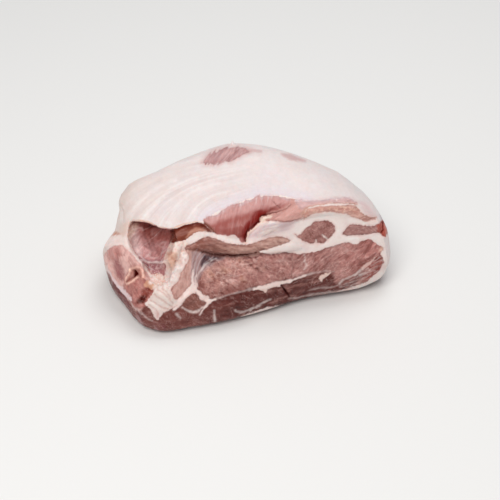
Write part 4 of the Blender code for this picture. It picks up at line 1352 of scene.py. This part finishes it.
def paint_hollow(skin, below):
    """The hollow with its membrane, strands and foot, its top in the flap's painted shade, and the torn meat
    under the flap's edge, darkened with painted shade and a painted shadow line.
    """
    hollow = lean_area(skin, HOLLOW, "hollow", where=below, coarse=0.7, fibres=(50, 3.0))
    # Painted shade of the flap over the top of the hollow.
    tint_lean(skin, HOLLOW_FLAP_SHADE, "hollow_brown_and_shade", soft=6.0, where=below)
    tint_lean(skin, HOLLOW_MEMBRANE, "hollow_membrane", soft=4.0, share=0.85, where=below)
    tint_lean(skin, HOLLOW_TAN, "left_tan", soft=2.5, share=0.85, where=below)
    foot = lean_area(skin, HOLLOW_FOOT, "hollow_foot", where=below, coarse=0.7)
    in_hollow = smoothstep(-2.0, 2.0, np.maximum(hollow, foot)) * skin.open
    strands = wisps(fibre_places(skin.co, 48, 2.4), 6.5 * MM, 133, 0.12)
    clouds = smoothstep(0.0, 0.6, skin.rough(8.0, 137))
    skin.tone_lean("hollow_membrane", 0.6 * strands * in_hollow)
    skin.tone_lean("hollow_brown_and_shade", 0.5 * clouds * in_hollow)
    skin.lean_tone *= (1 + 0.2 * skin.rough(3.2, 139) * in_hollow)[:, None]
    skin.height += (0.35 * strands + 0.6 * skin.rough(7.0, 143)) * in_hollow
    # The torn meat under the flap, darkened with painted shade.
    lean_area(skin, UNDER_FLAP, "under_flap", where=below, fibres=(20, 4.0), coarse=0.6)
    tint_lean(skin, UNDER_FLAP_TAN, "under_flap_tan", soft=1.6, where=below)
    # Painted shadow just under the flap's free edge.
    skin.tone_lean("flap_shadow", 0.9 * line_mask(skin, FLAP_SHADOW_LINE, 1.5, skin.open))
    dull(skin, smoothstep(-1.0, 1.0, depth_in(skin.chart, UNDER_FLAP)) * skin.open)


def paint_torn_knot(skin, below):
    """Torn meat under the hollow, darker red in its sunken middle partly as painted shade, with folds of fat
    round a torn vessel: its hole and slit painted dark as shade, its folds peach with painted highlights.
    """
    lean_area(skin, TORN_MEAT, "torn", where=below, fibres=(-50, 2.5), coarse=0.6)
    # Darker red with painted shade in the sunken middle, and darkest in the deepest place.
    tint_lean(skin, TORN_DARK, "torn_red_and_shade", soft=2.4)
    tint_lean(skin, TORN_DEEP, "torn_deep_shade", soft=1.8)
    skin.height -= 1.3 * soft_area(skin, TORN_DARK, (-1.5, 2.5), skin.open)
    knot = depth_in(skin.wandered, KNOT_RIM)
    hole = depth_in(skin.chart, KNOT_HOLE)
    skin.tone_lean("knot", smoothstep(-1.5, 1.0, knot) * skin.open)
    skin.tone_lean("knot_hole_shade", smoothstep(-1.2, 0.6, hole) * skin.open)
    skin.height -= 1.8 * smoothstep(-1.2, 1.0, hole)
    dull(skin, smoothstep(-1.6, 0.6, hole))
    dull(skin, 0.8 * smoothstep(-1.0, 1.0, depth_in(skin.chart, TORN_DARK)))
    # The folds are peach fat, painted lighter on top as highlights.
    for line, half_width in KNOT_FOLDS:
        mask = line_mask(skin, line, half_width)
        skin.height += 0.9 * mask
        skin.tone_lean("knot_fold_peach_and_highlight", 0.8 * mask)
    # The slit, painted dark as shade.
    skin.tone_lean("torn_red_and_shade", 0.9 * line_mask(skin, KNOT_SLIT, 0.7))
    torn = smoothstep(-2.0, 1.5, np.maximum(depth_in(skin.chart, TORN_MEAT), knot)) * skin.open
    skin.height += 0.9 * skin.rough(5.0, 145) * torn
    skin.lean_tone *= (1 + 0.25 * skin.rough(3.0, 147) * torn)[:, None]


def paint_torn_fat(skin, below):
    """The tan lobe, the ridge and band of fat, the torn white fat and the tendon with its fibres."""
    fat_area(skin, TAN_LOBE, "tan_lobe", where=below, bulge=0.5)
    for patch, colour in ((FAT_RIDGE, "ridge"), (TORN_WHITE, "torn_white"), (WHITE_BAND, "white_fat")):
        fat_area(skin, patch, colour, where=below, bulge=0.3)
    tint_fat(skin, RIDGE_YELLOW, "ridge_yellow", soft=2.5, where=below)
    fat_area(skin, TENDON, "tendon", where=below, bulge=0.5)
    torn_fat = np.max([depth_in(skin.chart, patch) for patch in (WHITE_BAND, FAT_RIDGE, TORN_WHITE)], axis=0)
    torn_fat = smoothstep(-2.0, 1.0, torn_fat) * skin.open
    tendon = smoothstep(-1.0, 2.0, depth_in(skin.chart, TENDON)) * skin.open
    skin.tone_fat("fringe", 0.7 * over(skin, "tendon_tip") * tendon)
    skin.height += 0.5 * skin.rough(3.0, 155, fibres=(-42, 4.0)) * tendon
    crumbs = 0.25 - np.abs(skin.rough(3.4, 131))
    skin.height += (2.0 * crumbs + 0.5 * skin.fine(1.7, 135)) * torn_fat
    skin.height += 0.9 * skin.fine(2.3, 157) * soft_area(skin, TORN_WHITE, (-1.5, 1.0), skin.open)
    stains = smoothstep(0.1, 0.6, skin.rough(4.0, 149)) * torn_fat
    skin.tone_fat("ridge_yellow", 0.45 * stains)
    for line in TENDON_FIBRES:
        mask = line_mask(skin, line, 0.8)
        skin.height -= 0.45 * mask
        skin.tone_fat("side_muscle", 0.45 * mask)


def paint_roll(skin):
    """The roll muscle over its fold, painted dark as its shadow, with painted shade on the muscle below, and
    the pale threads of the membrane beside it.
    """
    roll = lean_area(skin, ROLL_MUSCLE, "roll", bulge=1.0, groove=0.2, fibres=(-5, 3.0), coarse=1.3)
    on_roll = smoothstep(-3.0, -1.0, roll)
    skin.tone_lean("roll_left", 0.85 * over(skin, "roll_left") * on_roll)
    skin.tone_lean("roll_pale", 0.5 * over(skin, "roll_pale") * on_roll)
    gap, along = distance(skin.wandered, curve(CREASE_LINE))
    fold = bell(gap, np.interp(along, (0.0, 0.4, 1.0), (0.7, 1.2, 0.5))) * skin.seen
    skin.fat = np.where(fold > 0.3, -2.0, skin.fat)
    # Painted shadow: soft on the muscle below the fold, and dark in the fold itself.
    skin.tone_lean("crease", 0.5 * line_mask(skin, CREASE_LINE, 2.8) * over(skin, "crease_shade"))
    skin.tone_lean("fold_shadow", 0.95 * fold)
    skin.height -= 1.0 * fold
    dull(skin, fold)
    for line in MEMBRANE_THREADS:
        skin.tone_lean("thread", 0.4 * line_mask(skin, line, 0.6))


def paint_creases(skin):
    """Fine creases, sunk and painted dark as the shade in them, drawn last."""
    for line, half_width in FINE_CREASES:
        mask = line_mask(skin, line, half_width, skin.open)
        skin.tone_lean("fold_line_shade", 0.5 * mask)
        skin.tone_fat("belly_red", 0.4 * mask)
        skin.height -= 0.5 * mask


def paint_hidden(skin):
    """Sides that the show camera doesn't see: lean with thin fat below, and the dark walls inside, those of
    the fold under the roll painted dark brown as its shade.
    """
    hidden = ~skin.seen
    streaks = rough_noise(skin.co * (0.35, 1.0, 1.0), 7 * MM, 141)
    edge = (skin.co[:, 2] - skin.foot) / MM + 3.0 * skin.fine(11, 154)
    skin.fat = np.where(hidden, np.maximum(edge, 3.0 * (streaks - 0.42)), skin.fat)
    patches = smoothstep(-0.4, 0.5, skin.rough(15, 151))
    skin.tone_lean("bottom_left", 0.6 * hidden * patches)
    skin.tone_lean("wedge_mid", 0.6 * hidden * smoothstep(-10.0, 0.0, edge))
    skin.height += 0.5 * skin.rough(8, 159) * hidden * ~skin.cap
    place = skin.co[:, 0] / MM
    wandered = place + 5 * skin.rough(8, 150)
    cleft = smoothstep(*CLEFT_WALL_LEFT, wandered) * smoothstep(*CLEFT_WALL_RIGHT, place) * skin.inner
    inner = (skin.inner & ~skin.cap) | (cleft > 0.5)
    x, y, z = skin.co.T
    under_roll = skin.inner & (z < UNDER_ROLL_TOP) & (y < UNDER_ROLL_BACK) & (x > UNDER_ROLL_LEFT)
    skin.tone_lean("hollow", inner * 1.0)
    skin.tone_lean("cleft_wall", cleft)
    # Painted shade on the walls of the fold under the roll.
    skin.tone_lean("roll_left", under_roll * 0.8)
    dull(skin, inner | under_roll)
    skin.fat[inner | under_roll] = -FAR


def shaped_skin():
    """The skin with its relief worked in, as an object with its painted attributes."""
    skin = Skin()
    # The seen side starts as fat, and every lean area is then drawn into it.
    skin.fat[skin.seen] = FAR
    paint_hidden(skin)
    paint_cap(skin)
    paint_cap_back(skin)
    paint_crown(skin)
    paint_seam_fat(skin)
    paint_belly(skin)
    paint_cleft(skin)
    paint_salmon_band(skin)
    paint_lean_face(skin)
    paint_left_end(skin)
    for points, widths, white in FAT_SEAMS.values():
        fat_seam(skin, points, widths, white)
    paint_roll(skin)
    paint_creases(skin)
    # Where the surface turns away from the camera the chart is no guide to height.
    fade = smoothstep(0.0, 0.3, np.abs(skin.facing))
    height = relaxed(skin.height * fade, skin.edges, 0.5, 1)
    lean = smoothstep(0.6, -0.6, skin.fat)
    fibres = noise(skin.grain, 1.5 * MM, 161) * 0.24
    fibres += rough_noise(skin.grain, 3.4 * MM, 165, octaves=2) * 0.3
    height += fibres * lean * skin.coarse + 0.2 * (1 - lean) * skin.open
    # Painted shade in the dips of the relief and painted light on its crests.
    shade_dips_light_crests(skin, height)
    co = skin.co + skin.normals * (height * MM)[:, None]
    co[:, 2] = np.maximum(co[:, 2], 0.0)
    obj = new_mesh_object("meat_skin", co, skin.tris)
    store_fields(obj, skin)
    return obj, skin


# Painted shade in dips: how much red, green and blue a full dip takes away.
LEAN_DIP_SHADE = (0.24, 0.34, 0.34)
FAT_DIP_SHADE = (0.08, 0.18, 0.19)


def shade_dips_light_crests(skin, height):
    """Painted shade and light from the relief: dips go darker and redder, and crests paler."""
    dip = np.clip((relaxed(height, skin.edges, 0.5, 6) - height) / 0.3, -1, 1)
    skin.lean_tone *= 1 - dip[:, None] * LEAN_DIP_SHADE
    skin.fat_tone *= 1 - dip[:, None] * FAT_DIP_SHADE
    dull(skin, 0.7 * dip)


def store_fields(obj, skin):
    """Puts the painted fields on the mesh, where the materials read them."""
    mesh = obj.data
    for name, values in (("lean_tone", skin.lean_tone), ("fat_tone", skin.fat_tone)):
        layer = mesh.attributes.new(name, "FLOAT_COLOR", "POINT")
        rgba = np.ones((len(values), 4))
        rgba[:, :3] = values
        layer.data.foreach_set("color", rgba.ravel())
    singles = (("fat_edge", skin.fat), ("film", skin.film), ("coarse", skin.coarse), ("sheen", skin.sheen))
    for name, values in singles:
        layer = mesh.attributes.new(name, "FLOAT", "POINT")
        layer.data.foreach_set("value", values.astype(np.float32))
    layer = mesh.attributes.new("grain", "FLOAT_VECTOR", "POINT")
    layer.data.foreach_set("vector", skin.grain.ravel())
    mesh.polygons.foreach_set("use_smooth", [True] * len(mesh.polygons))
    mesh.update()


# ==== Materials.
def add(tree, kind, settings=None, **inputs):
    """A shader node with its settings and inputs, where an input is a value or another node's socket."""
    node = tree.nodes.new(kind)
    for key, value in (settings or {}).items():
        setattr(node, key, value)
    for key, value in inputs.items():
        socket = node.inputs[int(key[1:])] if key[0] == "i" and key[1:].isdigit() else node.inputs[key]
        if isinstance(value, bpy.types.NodeSocket):
            tree.links.new(value, socket)
        else:
            socket.default_value = value
    return node


def maths(tree, operation, a, b=0.0, c=0.0, clamp=False):
    settings = {"operation": operation, "use_clamp": clamp}
    return add(tree, "ShaderNodeMath", settings, i0=a, i1=b, i2=c).outputs[0]


def scaled_value(tree, value, factor, clamp=False):
    return maths(tree, "MULTIPLY", value, factor, clamp=clamp)


def mix_colour(tree, share, a, b):
    return add(tree, "ShaderNodeMix", {"data_type": "RGBA"}, i0=share, i6=a, i7=b).outputs[2]


def ramp(tree, value, low, high, to_low=0.0, to_high=1.0):
    """A value between two limits, softly brought to run from `to_low` to `to_high`."""
    settings = {"interpolation_type": "SMOOTHSTEP"}
    node = add(tree, "ShaderNodeMapRange", settings, i0=value, i1=low, i2=high, i3=to_low, i4=to_high)
    return node.outputs[0]


def clouds(tree, places, scale, detail, **inputs):
    """A noise texture's value."""
    return add(tree, "ShaderNodeTexNoise", Vector=places, Scale=scale, Detail=detail, **inputs).outputs[0]


def new_group(name, inputs, outputs):
    """A shader node group with named sockets; an input with no default is a vector."""
    tree = bpy.data.node_groups.new(name, "ShaderNodeTree")
    for label, default in inputs:
        kind = "NodeSocketVector" if default is None else "NodeSocketFloat"
        socket = tree.interface.new_socket(name=label, in_out="INPUT", socket_type=kind)
        if default is not None:
            socket.default_value = default
    for label in outputs:
        tree.interface.new_socket(name=label, in_out="OUTPUT", socket_type="NodeSocketFloat")
    return tree, tree.nodes.new("NodeGroupInput").outputs, tree.nodes.new("NodeGroupOutput").inputs


def muscle_grain_group():
    """Cut or drawn-out muscle fibres: a mask of pale flecks, a mask of dark gaps and a height."""
    tree, inside, out = new_group(
        "muscle_grain", (("Places", None), ("Bundles per metre", 600.0)), ("Pale", "Dark", "Height"))
    places, bundles = inside[:2]

    def grain(share, detail, distortion=0.0):
        size = scaled_value(tree, bundles, share)
        return clouds(tree, places, size, detail, Roughness=0.62, Distortion=distortion)

    broad, fine = grain(0.36, 4.0, 0.8), grain(1.5, 3.0)
    lines = maths(tree, "ABSOLUTE", maths(tree, "SUBTRACT", grain(0.30, 2.5, 1.2), 0.5))
    broken = ramp(tree, grain(0.12, 1.0), 0.42, 0.56)
    threads = maths(tree, "MULTIPLY", ramp(tree, lines, 0.004, 0.022, 1.0, 0.0), broken)
    settings = {"feature": "DISTANCE_TO_EDGE"}
    cells = add(tree, "ShaderNodeTexVoronoi", settings, Vector=places, Scale=bundles).outputs[0]
    mixed = maths(tree, "MULTIPLY_ADD", fine, 0.25, scaled_value(tree, broad, 0.75))
    gap = ramp(tree, cells, 0.0, 0.12, 1.0, 0.0)
    pale = maths(tree, "MAXIMUM", scaled_value(tree, ramp(tree, mixed, 0.50, 0.64), 0.75), threads)
    dark = maths(tree, "MAXIMUM", ramp(tree, mixed, 0.49, 0.37), scaled_value(tree, gap, 0.3))
    raised = maths(tree, "MULTIPLY_ADD", threads, 0.12, mixed)
    height = maths(tree, "SUBTRACT", raised, scaled_value(tree, gap, 0.12))
    for i, socket in enumerate((pale, dark, height)):
        tree.links.new(socket, out[i])
    return tree


def fat_mottle_group():
    """Soft unevenness of fat: a warm mask, a fine speckle and a height."""
    tree, inside, out = new_group(
        "fat_mottle", (("Places", None), ("Lumps per metre", 180.0)), ("Warm", "Speckle", "Height"))
    places, lumps = inside[:2]

    def mottle(factor, roughness):
        return clouds(tree, places, scaled_value(tree, lumps, factor), 3.0, Roughness=roughness)

    broad, fine = mottle(0.4, 0.5), mottle(4.0, 0.6)
    height = maths(tree, "MULTIPLY_ADD", fine, 0.4, scaled_value(tree, broad, 0.6))
    for i, socket in enumerate((ramp(tree, broad, 0.38, 0.64), ramp(tree, fine, 0.4, 0.7), height)):
        tree.links.new(socket, out[i])
    return tree


def frayed_border_group():
    """The mask of fat from the painted distance to its edge, frayed by noise, with a stained band of fat and
    a dark rim of lean beside the edge."""
    tree, inside, out = new_group(
        "frayed_border", (("Edge", 0.0), ("Places", None), ("Fray", 1.0)), ("Fat", "Stain", "Rim"))
    edge, places, fray = inside[:3]
    fringe = clouds(tree, places, 520.0, 5.0, Roughness=0.7)
    shift = maths(tree, "SUBTRACT", fringe, 0.5)
    pushed = maths(tree, "MULTIPLY_ADD", shift, scaled_value(tree, fray, 1.7), edge)
    for i, (low, high) in enumerate(((-0.8, 0.5), (2.8, 0.2), (-2.2, -0.4))):
        tree.links.new(ramp(tree, pushed, low, high), out[i])
    return tree


def moist_sheen_group():
    """Patchy moisture: a roughness between two limits."""
    tree, inside, out = new_group(
        "moist_sheen", (("Places", None), ("Dry", 0.6), ("Moist", 0.35)), ("Roughness",))
    places, dry, moist = inside[:3]
    patches = clouds(tree, places, 260.0, 3.0)
    node = add(tree, "ShaderNodeMapRange", i0=patches, i1=0.35, i2=0.65, i3=dry, i4=moist)
    tree.links.new(node.outputs[0], out[0])
    return tree


GROUPS = {}


def place_group(tree, maker, **inputs):
    """A node group in a tree, made by its maker the first time."""
    if maker not in GROUPS:
        GROUPS[maker] = maker()
    return add(tree, "ShaderNodeGroup", {"node_tree": GROUPS[maker]}, **inputs)


def field(tree, name, output="Fac"):
    """One of the skin's painted fields."""
    return add(tree, "ShaderNodeAttribute", {"attribute_name": name}).outputs[output]


def scaled(tree, colour, factor, warm=(1.0, 1.0, 1.0)):
    """A colour socket multiplied by a factor and a fixed tint."""
    tint = (*(factor * w for w in warm), 1.0)
    settings = {"data_type": "RGBA", "blend_type": "MULTIPLY"}
    return add(tree, "ShaderNodeMix", settings, i0=1.0, i6=colour, i7=tint).outputs[2]


def stained(tree, colour, mask, share, factor, warm):
    """A colour socket, scaled and tinted by a share of what a mask says."""
    return mix_colour(tree, scaled_value(tree, mask, share), colour, scaled(tree, colour, factor, warm))


# Light that goes into meat and fat: how far for red, green and blue, and the scale of that in metres.
INWARD_RADIUS = (1.0, 0.45, 0.35)
INWARD_SCALE = 0.0016
MEAT_IOR = 1.4
FILM_ROUGHNESS = 0.22
LUMPS_PER_METRE = 190.0


def let_light_in(shader, weight):
    shader.inputs["Subsurface Weight"].default_value = weight
    shader.inputs["Subsurface Radius"].default_value = INWARD_RADIUS
    shader.inputs["Subsurface Scale"].default_value = INWARD_SCALE


# Each finish of the skin: fray of fat borders, bundles, roughness when dry and moist, sheen of a wet film,
# shine, how much light goes in, and the depth of fine relief.
FINISHES = {
    "cut_lean": dict(fray=2.0, bundles=520.0, dry=0.58, moist=0.36, coat=0.16, shine=0.24, inward=0.16,
                     relief=0.0014),
    "seam_fat": dict(fray=1.8, bundles=620.0, dry=0.55, moist=0.38, coat=0.12, shine=0.35, inward=0.22,
                     relief=0.0006),
    "cap_fat": dict(fray=2.2, bundles=620.0, dry=0.60, moist=0.46, coat=0.06, shine=0.4, inward=0.25,
                     relief=0.0002),
    "wet_film": dict(fray=1.6, bundles=480.0, dry=0.40, moist=0.24, coat=0.25, shine=0.3, inward=0.16,
                     relief=0.0006),
}


def skin_finish(name, fray, bundles, dry, moist, coat, shine, inward, relief):
    """One finish of the skin, which reads the painted tones and draws grain, mottle and moisture on them."""
    material = bpy.data.materials.new(name)
    material.use_nodes = True
    tree = material.node_tree
    shader = tree.nodes["Principled BSDF"]
    places = add(tree, "ShaderNodeTexCoord").outputs["Object"]
    grain_places = field(tree, "grain", "Vector")
    grain = place_group(tree, muscle_grain_group, i0=grain_places, i1=bundles)
    mottle = place_group(tree, fat_mottle_group, i0=places, i1=LUMPS_PER_METRE)
    border = place_group(tree, frayed_border_group, i0=field(tree, "fat_edge"), i1=places, i2=fray)
    sheen = place_group(tree, moist_sheen_group, i0=places, i1=dry, i2=moist)
    lean = field(tree, "lean_tone", "Color")
    coarse = field(tree, "coarse")
    pale_share = scaled_value(tree, grain.outputs[0], scaled_value(tree, coarse, 0.72), clamp=True)
    dark_share = scaled_value(tree, grain.outputs[1], scaled_value(tree, coarse, 0.85), clamp=True)
    pale = mix_colour(tree, 0.45, scaled(tree, lean, 1.45), (*linear("fleck"), 1.0))
    lean = mix_colour(tree, pale_share, lean, pale)
    lean = mix_colour(tree, dark_share, lean, scaled(tree, lean, 0.62, (1.0, 0.80, 0.78)))
    lean = stained(tree, lean, border.outputs[2], 0.35, 0.8, (1, 0.86, 0.84))
    fat = field(tree, "fat_tone", "Color")
    fat = stained(tree, fat, mottle.outputs[0], 0.35, 0.98, (1, 0.96, 0.93))
    fat = stained(tree, fat, mottle.outputs[1], 0.22, 0.90, (1, 0.97, 0.97))
    fat = stained(tree, fat, border.outputs[1], 0.55, 0.93, (1, 0.88, 0.86))
    tree.links.new(mix_colour(tree, border.outputs[0], lean, fat), shader.inputs["Base Color"])
    tree.links.new(sheen.outputs[0], shader.inputs["Roughness"])
    gloss = field(tree, "sheen")
    film = maths(tree, "MULTIPLY_ADD", field(tree, "film"), 0.4, coat)
    tree.links.new(scaled_value(tree, film, gloss, clamp=True), shader.inputs["Coat Weight"])
    tree.links.new(scaled_value(tree, gloss, shine), shader.inputs["Specular IOR Level"])
    shader.inputs["Coat Roughness"].default_value = FILM_ROUGHNESS
    shader.inputs["IOR"].default_value = MEAT_IOR
    let_light_in(shader, inward)
    lean_height = scaled_value(tree, grain.outputs[2], coarse)
    fat_height = scaled_value(tree, mottle.outputs[2], 0.7)
    settings = {"data_type": "FLOAT"}
    height = add(tree, "ShaderNodeMix", settings, i0=border.outputs[0], i2=lean_height, i3=fat_height)
    bump = add(tree, "ShaderNodeBump", Strength=0.75, Distance=relief, Height=height.outputs[0])
    tree.links.new(bump.outputs[0], shader.inputs["Normal"])
    return material


def finish_skin(obj, skin):
    """Gives each triangle of the skin the finish of what it is: lean, seam fat, cap or wet film."""
    names = list(FINISHES)
    for name in names:
        obj.data.materials.append(skin_finish(name, **FINISHES[name]))
    fat = skin.fat[skin.tris].mean(axis=1) > 0
    cap = skin.cap[skin.tris].any(axis=1)
    film = skin.film[skin.tris].mean(axis=1) > 0.5
    index = np.full(len(skin.tris), names.index("cut_lean"))
    index[film & ~fat] = names.index("wet_film")
    index[fat] = names.index("seam_fat")
    index[fat & cap] = names.index("cap_fat")
    obj.data.polygons.foreach_set("material_index", index.astype(np.int32))
    obj.data.update()


# ==== Threads of membrane and crumbs of fat, laid on the skin by Geometry Nodes.
def new_geometry_tree(name, inputs):
    """A Geometry Nodes tree with a mesh in and out and named inputs (name, kind), and its two end nodes."""
    tree = bpy.data.node_groups.new(name, "GeometryNodeTree")
    tree.is_modifier = True
    tree.interface.new_socket(name="Mesh", in_out="INPUT", socket_type="NodeSocketGeometry")
    for label, kind in inputs:
        tree.interface.new_socket(name=label, in_out="INPUT", socket_type=kind)
    tree.interface.new_socket(name="Mesh", in_out="OUTPUT", socket_type="NodeSocketGeometry")
    return tree, tree.nodes.new("NodeGroupInput"), tree.nodes.new("NodeGroupOutput")


def grown_by(tree, name, co, edges, values):
    """A plain mesh object made from loose points or lines by a Geometry Nodes tree with its inputs set."""
    mesh = bpy.data.meshes.new(name)
    mesh.from_pydata([tuple(p) for p in co], edges, [])
    start = linked(name + "_start", mesh)
    modifier = start.modifiers.new("grow", "NODES")
    modifier.node_group = tree
    for item in tree.interface.items_tree:
        if item.in_out == "INPUT" and item.name in values:
            modifier[item.identifier] = values[item.name]
    made = worked_mesh(start)
    made.polygons.foreach_set("use_smooth", [True] * len(made.polygons))
    return linked(name, made)


def thread_tree():
    """Lines made into thin round threads, thickest in the middle."""
    tree, inside, out = new_geometry_tree("membrane_threads", (
        ("Radius", "NodeSocketFloat"), ("Spacing", "NodeSocketFloat"), ("Material", "NodeSocketMaterial")))
    mesh, radius, spacing, material = inside.outputs[:4]
    lines = add(tree, "GeometryNodeMeshToCurve", Mesh=mesh).outputs[0]
    lines = add(tree, "GeometryNodeResampleCurve", {"mode": "LENGTH"}, Curve=lines, Length=spacing).outputs[0]
    share = add(tree, "GeometryNodeSplineParameter").outputs["Factor"]
    swell = scaled_value(tree, scaled_value(tree, share, maths(tree, "SUBTRACT", 1.0, share)), 3.0)
    thick = scaled_value(tree, maths(tree, "ADD", swell, 0.35), radius)
    ring = add(tree, "GeometryNodeCurvePrimitiveCircle", Resolution=6, Radius=1.0).outputs[0]
    tubes = add(tree, "GeometryNodeCurveToMesh", Curve=lines, Scale=thick)
    tree.links.new(ring, tubes.inputs["Profile Curve"])
    tubes.inputs["Fill Caps"].default_value = True
    solid = add(tree, "GeometryNodeRealizeInstances", Geometry=tubes.outputs[0]).outputs[0]
    solid = add(tree, "GeometryNodeSetMaterial", Geometry=solid, Material=material).outputs[0]
    tree.links.new(solid, out.inputs[0])
    return tree


FULL_TURN = 6.28
CRUMB_LEAST = (0.5, 0.5, 0.4)
CRUMB_MOST = (1.5, 1.2, 1.0)


def crumb_tree():
    """A lumpy crumb on every point, each turned and sized at random."""
    tree, inside, out = new_geometry_tree("fat_crumbs", (
        ("Size", "NodeSocketFloat"), ("Lumpiness", "NodeSocketFloat"), ("Seed", "NodeSocketInt"),
        ("Material", "NodeSocketMaterial")))
    mesh, size, lumpiness, seed, material = inside.outputs[:5]
    ball = add(tree, "GeometryNodeMeshIcoSphere", Radius=size, Subdivisions=3).outputs[0]

    def at_random(low, high):
        settings = {"data_type": "FLOAT_VECTOR"}
        return add(tree, "FunctionNodeRandomValue", settings, i0=low, i1=high, Seed=seed).outputs[0]

    turn, scale = at_random((0, 0, 0), (FULL_TURN,) * 3), at_random(CRUMB_LEAST, CRUMB_MOST)
    crumbs = add(tree, "GeometryNodeInstanceOnPoints", Points=mesh, Instance=ball, Rotation=turn, Scale=scale)
    solid = add(tree, "GeometryNodeRealizeInstances", Geometry=crumbs.outputs[0]).outputs[0]
    rough = add(tree, "ShaderNodeTexNoise", Scale=900.0, Detail=2.0).outputs[0]
    push = scaled_value(tree, maths(tree, "SUBTRACT", rough, 0.5), lumpiness)
    normal = add(tree, "GeometryNodeInputNormal").outputs[0]
    shift = add(tree, "ShaderNodeVectorMath", {"operation": "SCALE"}, i0=normal, Scale=push).outputs[0]
    solid = add(tree, "GeometryNodeSetPosition", Geometry=solid, Offset=shift).outputs[0]
    solid = add(tree, "GeometryNodeSetMaterial", Geometry=solid, Material=material).outputs[0]
    tree.links.new(solid, out.inputs[0])
    return tree


# Lines of the threads on the chart.
THREADS = MEMBRANE_THREADS[1:3] + [
    [(133, 246), (140.5, 256.5), (150, 262), (163.5, 261.4)], [(143, 263), (150, 268), (158, 272)],
    [(149, 262.5), (150, 269), (153, 274)], [(165, 246), (162, 252), (160.5, 260)],
    [(176, 268), (171, 276), (166, 281)],
]
# Clusters of crumbs: place and spread on the chart, and how many.
CRUMBS = [(158, 278, 8.0, 18), (165, 283, 7.0, 9), (171, 270, 4.0, 5)]


def make_threads(tree_of_skin):
    """The threads of membrane, laid on the skin."""
    co, edges = [], []
    for line in THREADS:
        for k, (across, down) in enumerate(curve(line, step=1.0)):
            if k:
                edges.append((len(co) - 1, len(co)))
            co.append(sight_hit(tree_of_skin, across, down) + AXES[2] * 0.05 * MM)
    material = moist_material("membrane_thread", "thread")
    values = {"Radius": 0.15 * MM, "Spacing": 0.9 * MM, "Material": material}
    return grown_by(thread_tree(), "membrane_threads", co, edges, values)


def make_crumbs(tree_of_skin):
    """The crumbs of fat, a little sunk in the skin."""
    draw = np.random.default_rng(5)
    co = []
    for across, down, spread, count in CRUMBS:
        for place in draw.normal((across, down), spread / 2, (count, 2)):
            co.append(sight_hit(tree_of_skin, *place) - AXES[2] * 0.3 * MM)
    material = moist_material("fat_crumb", "crumb")
    values = {"Size": 0.6 * MM, "Lumpiness": 0.9 * MM, "Seed": 3, "Material": material}
    return grown_by(crumb_tree(), "fat_crumbs", co, [], values)


def moist_material(name, colour):
    """A plain moist fat or membrane."""
    material = plain_material(name, colour, 0.55)
    let_light_in(material.node_tree.nodes["Principled BSDF"], 0.25)
    return material


# ==== The stage.
def plain_material(name, colour, roughness):
    material = bpy.data.materials.new(name)
    material.use_nodes = True
    shader = material.node_tree.nodes["Principled BSDF"]
    shader.inputs["Base Color"].default_value = (*linear(colour), 1.0)
    shader.inputs["Roughness"].default_value = roughness
    return material


FLOOR_CORNERS = [(-3.0, -3.0, 0), (3.0, -3.0, 0), (3.0, 3.0, 0), (-3.0, 3.0, 0)]
LIGHT_TARGET = (0.0, 0.0, 0.05)
KEY_LIGHT = dict(place=(-0.55, -0.75, 1.35), size=0.9, watts=13.0, colour=(1.0, 0.985, 0.965))
TOP_LIGHT = dict(place=(0.35, 0.35, 1.5), size=1.0, watts=7.7, colour=(1.0, 1.0, 1.0))
ROOM_TINT = (0.97, 0.98, 1.0, 1.0)
ROOM_STRENGTH = 0.42


def make_floor():
    floor = new_mesh_object("floor", FLOOR_CORNERS, [(0, 1, 2, 3)])
    floor.data.materials.append(plain_material("pale_floor", "floor", 0.8))


def area_light(name, place, size, watts, colour):
    """A round lamp that points at the middle of the joint."""
    light = bpy.data.lights.new(name, "AREA")
    light.shape = "DISK"
    light.size = size
    light.energy = watts
    light.color = colour
    obj = linked(name, light)
    obj.location = place
    obj.rotation_euler = (Vector(place) - Vector(LIGHT_TARGET)).to_track_quat("Z", "Y").to_euler()


def make_lights():
    area_light("key", **KEY_LIGHT)
    area_light("top", **TOP_LIGHT)
    world = bpy.data.worlds.new("soft_room")
    bpy.context.scene.world = world
    world.use_nodes = True
    background = world.node_tree.nodes["Background"]
    background.inputs["Color"].default_value = ROOM_TINT
    background.inputs["Strength"].default_value = ROOM_STRENGTH
    bpy.context.scene.view_settings.view_transform = "Standard"


def make_camera():
    data = bpy.data.cameras.new("show_camera")
    data.sensor_width = CAMERA_SENSOR
    data.lens = CAMERA_LENS
    camera = linked("show_camera", data)
    turn = Matrix(AXES.T.tolist()).to_4x4()
    camera.matrix_world = Matrix.Translation(Vector(CAMERA_PLACE)) @ turn
    bpy.context.scene.camera = camera


def main():
    make_camera()
    make_lights()
    make_floor()
    obj, skin = shaped_skin()
    finish_skin(obj, skin)
    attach(obj, BODY)
    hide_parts(*NODES)
    co, tris = mesh_arrays(obj.data)
    tree_of_skin = BVHTree.FromPolygons(co.tolist(), tris.tolist())
    for piece in (make_threads(tree_of_skin), make_crumbs(tree_of_skin)):
        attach(piece, BODY)


main()
